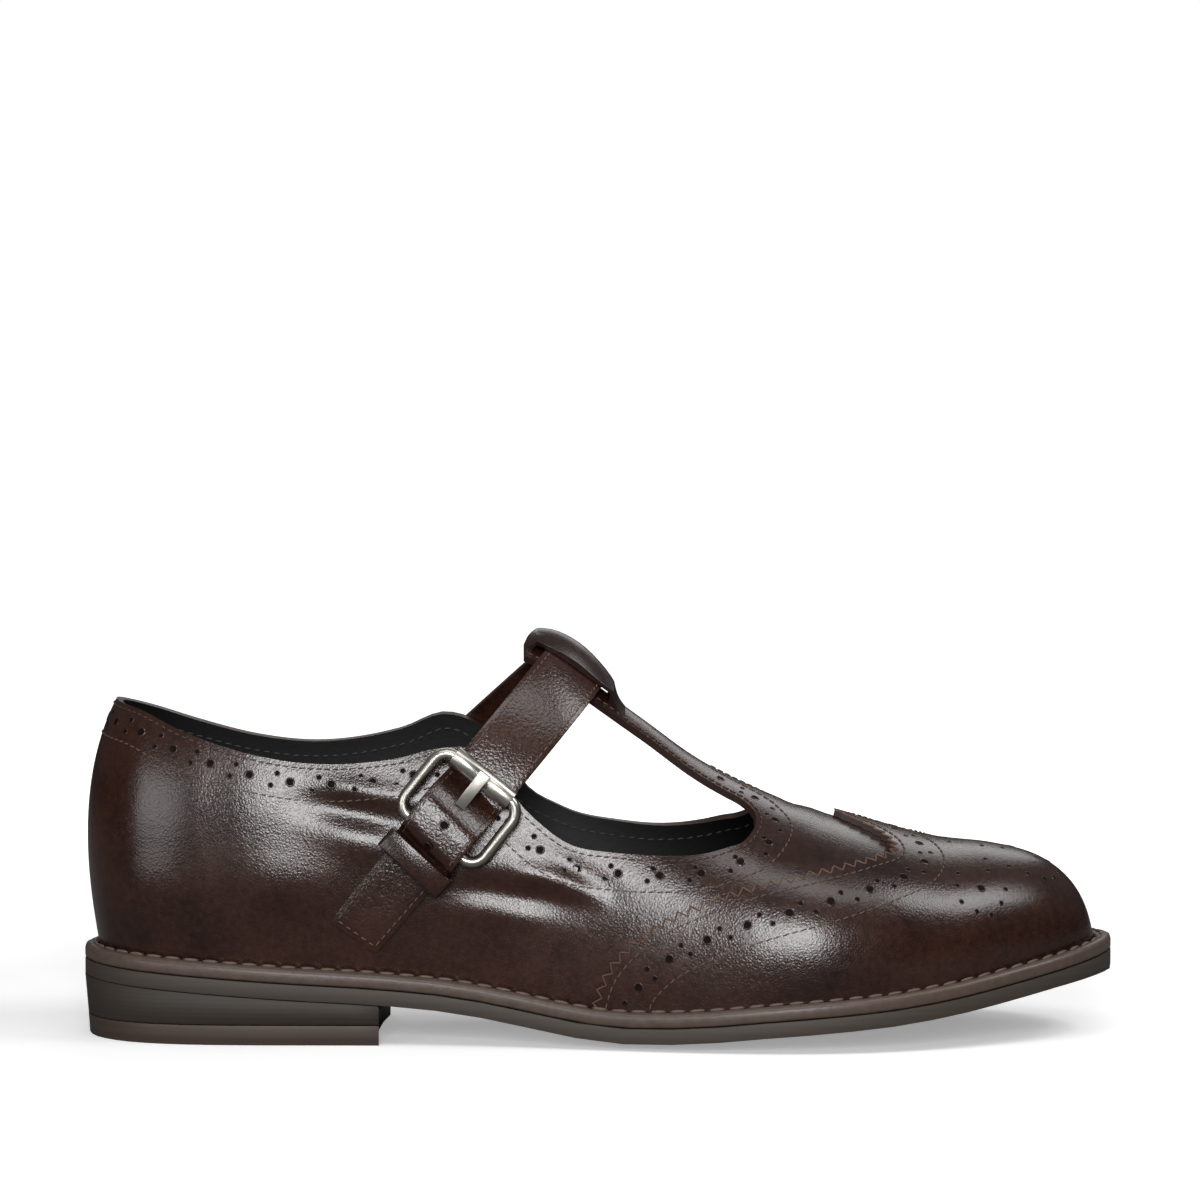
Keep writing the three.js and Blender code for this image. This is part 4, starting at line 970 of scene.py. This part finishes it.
finish_with(strap, ("SOLIDIFY", {"thickness": STRAP_THICK / 1000, "offset": -1, "material_offset_rim": 2}),
            rounded(0.00035, 2, 60))
smooth(strap, 50)
belongs(strap, "strap", "strap")

on_top = STRAP_THICK + 0.1
row_across = STRAP_WIDTH / 2 - STITCH_INSET
strap_rows = []
for across in (-row_across, row_across):
    whole = np.concatenate([on_strap(INNER, inner_swings, across, STRAP_GAP + on_top),
                            on_strap(OUTER, outer_swings, across, lifted(outer_distances) + on_top)])
    away = np.concatenate([fibre_normal(INNER, inner_swings, across),
                           fibre_normal(OUTER, outer_swings, across)])
    strap_rows.append((whole, away))
end_across = np.linspace(-row_across, row_across, 20)
end_swing = float(swing_at(INNER, np.array(STITCHED_END - STRAP_END_INSET)))
strap_rows.append((on_strap(INNER, end_swing, end_across, STRAP_GAP + on_top),
                   fibre_normal(INNER, np.full(20, end_swing), end_across)))
sewn("strap_stitches", "strap", strap_rows, thread, FINE_PITCH, FINE_LENGTH)


def on_tail(distance, across):
    """A place on the top of the strap, a distance down its outer side."""
    at = np.array([distance])
    return on_strap(OUTER, swing_at(OUTER, at), across, lifted(at) + STRAP_THICK + STRAP_CROWN)


strap_holes = []
for distance, radius in TAIL_HOLES:
    swing = swing_at(OUTER, np.array([distance]))
    place = on_tail(distance, 0.0)
    away = np.cross(on_tail(distance, 1.0) - place, on_tail(distance + 0.5, 0.0) - place)
    away *= np.sign((away * fibre_normal(OUTER, swing, 0.0)).sum())
    strap_holes.append((place[0], away[0] / np.linalg.norm(away[0]), radius))
punched("strap_holes", "strap", strap_holes)

# Buckle strap and keeper
# A short strap sewn to the outer quarter and folded round the buckle's bar, with the keeper's band
# over it to hold the tail.
BASE_WIDTH = 15.4
BASE_END_WIDTH = 14.2
BASE_TOP = 1.65
BASE_ROW_START = 66
BASE_END_INSET = 1.4


def copied(node, name, material, *modifiers, angle):
    """A copy of a frame solid with its loose triangles joined, finished with modifiers."""
    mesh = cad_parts[node].data.copy()
    mesh.name = name
    work = bmesh.new()
    work.from_mesh(mesh)
    bmesh.ops.remove_doubles(work, verts=work.verts, dist=1e-6)
    bmesh.ops.join_triangles(work, faces=work.faces, angle_face_threshold=math.radians(4),
                             angle_shape_threshold=math.radians(60))
    work.to_mesh(mesh)
    work.free()
    piece = bpy.data.objects.new(name, mesh)
    bpy.context.scene.collection.objects.link(piece)
    mesh.materials.clear()
    mesh.materials.append(material)
    finish_with(piece, *modifiers)
    smooth(piece, angle)
    belongs(piece, node, node)


copied("buckle_strap", "buckle_strap_leather", strap_leather, rounded(0.0003, 2, 50), angle=40)
copied("keeper", "keeper_band", upper_leather, rounded(0.0003, 3, 30), angle=40)
base_rows = []
distances = np.linspace(BASE_ROW_START, BASE_END - BASE_END_INSET, 40)
swings = swing_at(OUTER, distances)
share = (distances - PIVOT_AT) / (BASE_END - PIVOT_AT)
half = (BASE_WIDTH + (BASE_END_WIDTH - BASE_WIDTH) * share) / 2 - STITCH_INSET
for sign in (-1, 1):
    place = np.array([on_strap(OUTER, s, sign * h, BASE_TOP) for s, h in zip(swings, half)])
    base_rows.append((place, fibre_normal(OUTER, swings, sign * half)))
end_across = np.linspace(-half[-1], half[-1], 14)
base_rows.append((on_strap(OUTER, float(swings[-1]), end_across, BASE_TOP),
                  fibre_normal(OUTER, np.full(14, swings[-1]), end_across)))
sewn("buckle_strap_stitches", "buckle_strap", base_rows, thread, FINE_PITCH, FINE_LENGTH)

# Buckle
# Cast and bent nickel-plated steel, satin brushed: a round-wire frame, a loose roller with a notch
# and a flat prong.


def brushed(name, low, high):
    finish = Finish(name)
    stroke = finish.noise(300, 3, 0.6, at=finish.stretched(1.0, 1.0, 6.0))
    tone = finish.noise(160, 3, 0.6)
    finish.set(Base_Color=finish.blend(tone, low, high), Metallic=1.0,
               Roughness=stroke * 0.16 + 0.24, Normal=finish.relief(stroke, 0.10, 0.0001))
    return finish.material


nickel = brushed("brushed nickel", (0.40, 0.375, 0.33), (0.62, 0.60, 0.56))
copied("buckle_frame", "buckle_wire", nickel, angle=80)
copied("buckle_roller", "buckle_roller_tube", nickel, rounded(0.0002, 2, 45), angle=35)
copied("buckle_prong", "buckle_prong_bar", nickel, rounded(0.00035, 3, 40), angle=50)

# Welt
# A waxed strip of veg-tanned leather round the foot of the upper. One row of coarse thread goes
# down through it and the sole from above.
WELT_TOP = 4.0
WELT_REACH = 4.8
MORE_AT_TOE = 1.4
LESS_AT_HEEL = 0.4
WELT_ROW = 2.55
ON_WELT = 0.08
welt_thread = plain("welt thread", (0.110, 0.078, 0.062), 0.55)
welt_leather = plain("waxed welt leather", (0.088, 0.060, 0.048), 0.40, 500, 0.0003, 0.35)
copied("welt", "welt_strip", welt_leather, rounded(0.0005, 2, 30), angle=50)


def eased(at, start, end):
    """From 0 at the start to 1 at the end, slowly at both."""
    t = np.clip((at - start) / (end - start), 0, 1)
    return t * t * (3 - 2 * t)


def sole_outline(side, inset):
    """The sole's edge on one side, moved inwards by the inset."""
    turn = np.linspace(0, np.pi, 500)
    x, y = feather(turn, side)
    dx = np.gradient(x, turn)
    dy = np.gradient(y, turn)
    dx[[0, -1]] = 0
    dy[0] = side
    dy[-1] = -side
    size = np.hypot(dx, dy)
    along = along_of(turn)
    reach = (WELT_REACH + eased(along, 0.75, 1) * MORE_AT_TOE
             - (1 - eased(along, 0, 0.2)) * LESS_AT_HEEL - inset)
    return x - dy / size * side * reach, y + dx / size * side * reach


welt_rows = []
for side in (OUTER, INNER):
    x, y = sole_outline(side, WELT_ROW)
    place = np.stack([x, y, seam_height(x) + WELT_TOP + ON_WELT], 1)
    welt_rows.append((place, np.tile([0.0, 0.0, 1.0], (len(x), 1))))
sewn("welt_stitches", "welt", welt_rows, welt_thread, pitch=5.0, length=4.3,
     breadth=1.05, height=0.9, sunk=0.1)

# Sole and heel
# A thin leather sole with a waxed grey-brown edge, on a low stacked heel whose layers show as fine
# lines, over a top lift of rubber.


def stacked(name, low, high, pitch, roughness):
    """Leather seen on its cut edge, in layers of a given pitch."""
    finish = Finish(name)
    height = finish.node("ShaderNodeSeparateXYZ", "Z", Vector=finish.place)
    wave = (height * (2 * math.pi / pitch) + finish.noise(60, 2, 0.5) * 2.2).math("SINE") * 0.5 + 0.5
    streak = finish.noise(240, 4, 0.7, at=finish.stretched(0.12, 0.12, 6.0))
    tone = (wave * 0.30 + streak * 0.7 - 0.05).clamp()
    finish.set(Base_Color=finish.blend(tone, low, high), Roughness=roughness,
               Normal=finish.relief(wave * 0.3 + streak * 0.4, 0.10, 0.0001))
    return finish.material


sole_edge = stacked("waxed sole edge", (0.040, 0.030, 0.0235), (0.056, 0.043, 0.0345), 0.0019, 0.60)
heel_leather = stacked(
    "stacked heel leather", (0.026, 0.0190, 0.0142), (0.042, 0.0315, 0.0240), 0.0012, 0.62)
lift_rubber = stacked("top lift rubber", (0.040, 0.026, 0.020), (0.066, 0.044, 0.034), 0.0024, 0.5)
copied("outsole", "outsole_leather", sole_edge, rounded(0.0005, 2, 50), angle=50)
copied("heel_stack", "heel_layers", heel_leather, rounded(0.0002, 1, 50), angle=50)
copied("top_lift", "heel_top_lift", lift_rubber, rounded(0.0004, 2, 50), angle=50)
copied("insole", "sock_lining", lining_leather, rounded(0.0008, 3, 50), angle=50)

# Studio
# A white sweep that stays white to the camera, under five soft boxes: the key low in front, one each
# at the heel, overhead and at the toe, and one behind. The sky adds a little light from above.
SWEEP_SIZE = 12
NEAR_SHOE = 0.20
NEAR_GLOW = 0.32
SKY_LIGHT = 0.20
SKY_LEAST = 0.02
bpy.ops.mesh.primitive_plane_add(size=SWEEP_SIZE, location=(0.095, 0, 0))
floor = bpy.context.object
floor.name = "studio_floor"
paper = Finish("white studio paper")
camera_only = paper.node("ShaderNodeLightPath", "Is Camera Ray")
far = paper.node("ShaderNodeVectorMath", "Value", {"operation": "LENGTH"}, Vector=paper.place)
glow = ((far - NEAR_SHOE) * 2.5).clamp() * (1 - NEAR_GLOW) + NEAR_GLOW
paper.set(Base_Color=paper.blend(camera_only, (0.2, 0.2, 0.2), (0.95, 0.95, 0.95)), Roughness=0.9,
          Specular_IOR_Level=0.0, Emission_Color=(1, 1, 1, 1), Emission_Strength=camera_only * glow)
floor.data.materials.append(paper.material)

world = bpy.data.worlds.new("studio")
world.use_nodes = True
sky = world.node_tree
sky_place = sky.nodes.new("ShaderNodeTexCoord")
split = sky.nodes.new("ShaderNodeSeparateXYZ")
sky.links.new(sky_place.outputs["Generated"], split.inputs["Vector"])
overhead = (Value(sky, split.outputs["Z"]) * SKY_LIGHT + SKY_LEAST).clamp()
seen = sky.nodes.new("ShaderNodeLightPath")
strength = overhead.math("MAXIMUM", Value(sky, seen.outputs["Is Camera Ray"]))
sky.links.new(strength.socket, sky.nodes["Background"].inputs["Strength"])
sky.nodes["Background"].inputs["Color"].default_value = (1, 1, 1, 1)
bpy.context.scene.world = world


def softbox(name, place, aim, width, height, power):
    bpy.ops.object.light_add(type="AREA", location=place)
    lamp = bpy.context.object
    lamp.name = name
    lamp.data.shape = "RECTANGLE"
    lamp.data.size = width
    lamp.data.size_y = height
    lamp.data.energy = power
    line = [a - b for a, b in zip(aim, place)]
    lamp.rotation_euler = (math.atan2(math.hypot(line[0], line[1]), -line[2]), 0,
                           math.atan2(line[0], -line[1]) + math.pi)


softbox("key_softbox", (0.06, -1.25, 0.40), (0.08, 0, 0.05), 0.40, 0.46, 9.5)
softbox("heel_softbox", (-0.80, -0.95, 0.22), (0.0, 0, 0.05), 0.72, 0.40, 3.2)
softbox("top_softbox", (0.12, -0.46, 0.95), (0.1, 0, 0.05), 0.9, 0.30, 2.6)
softbox("toe_softbox", (0.70, -0.14, 0.69), (0.17, 0, 0.04), 0.35, 0.35, 2.3)
softbox("back_softbox", (0.15, 0.9, 0.62), (0.1, 0, 0.05), 0.9, 0.4, 1.7)
bpy.context.scene.view_settings.view_transform = "Standard"
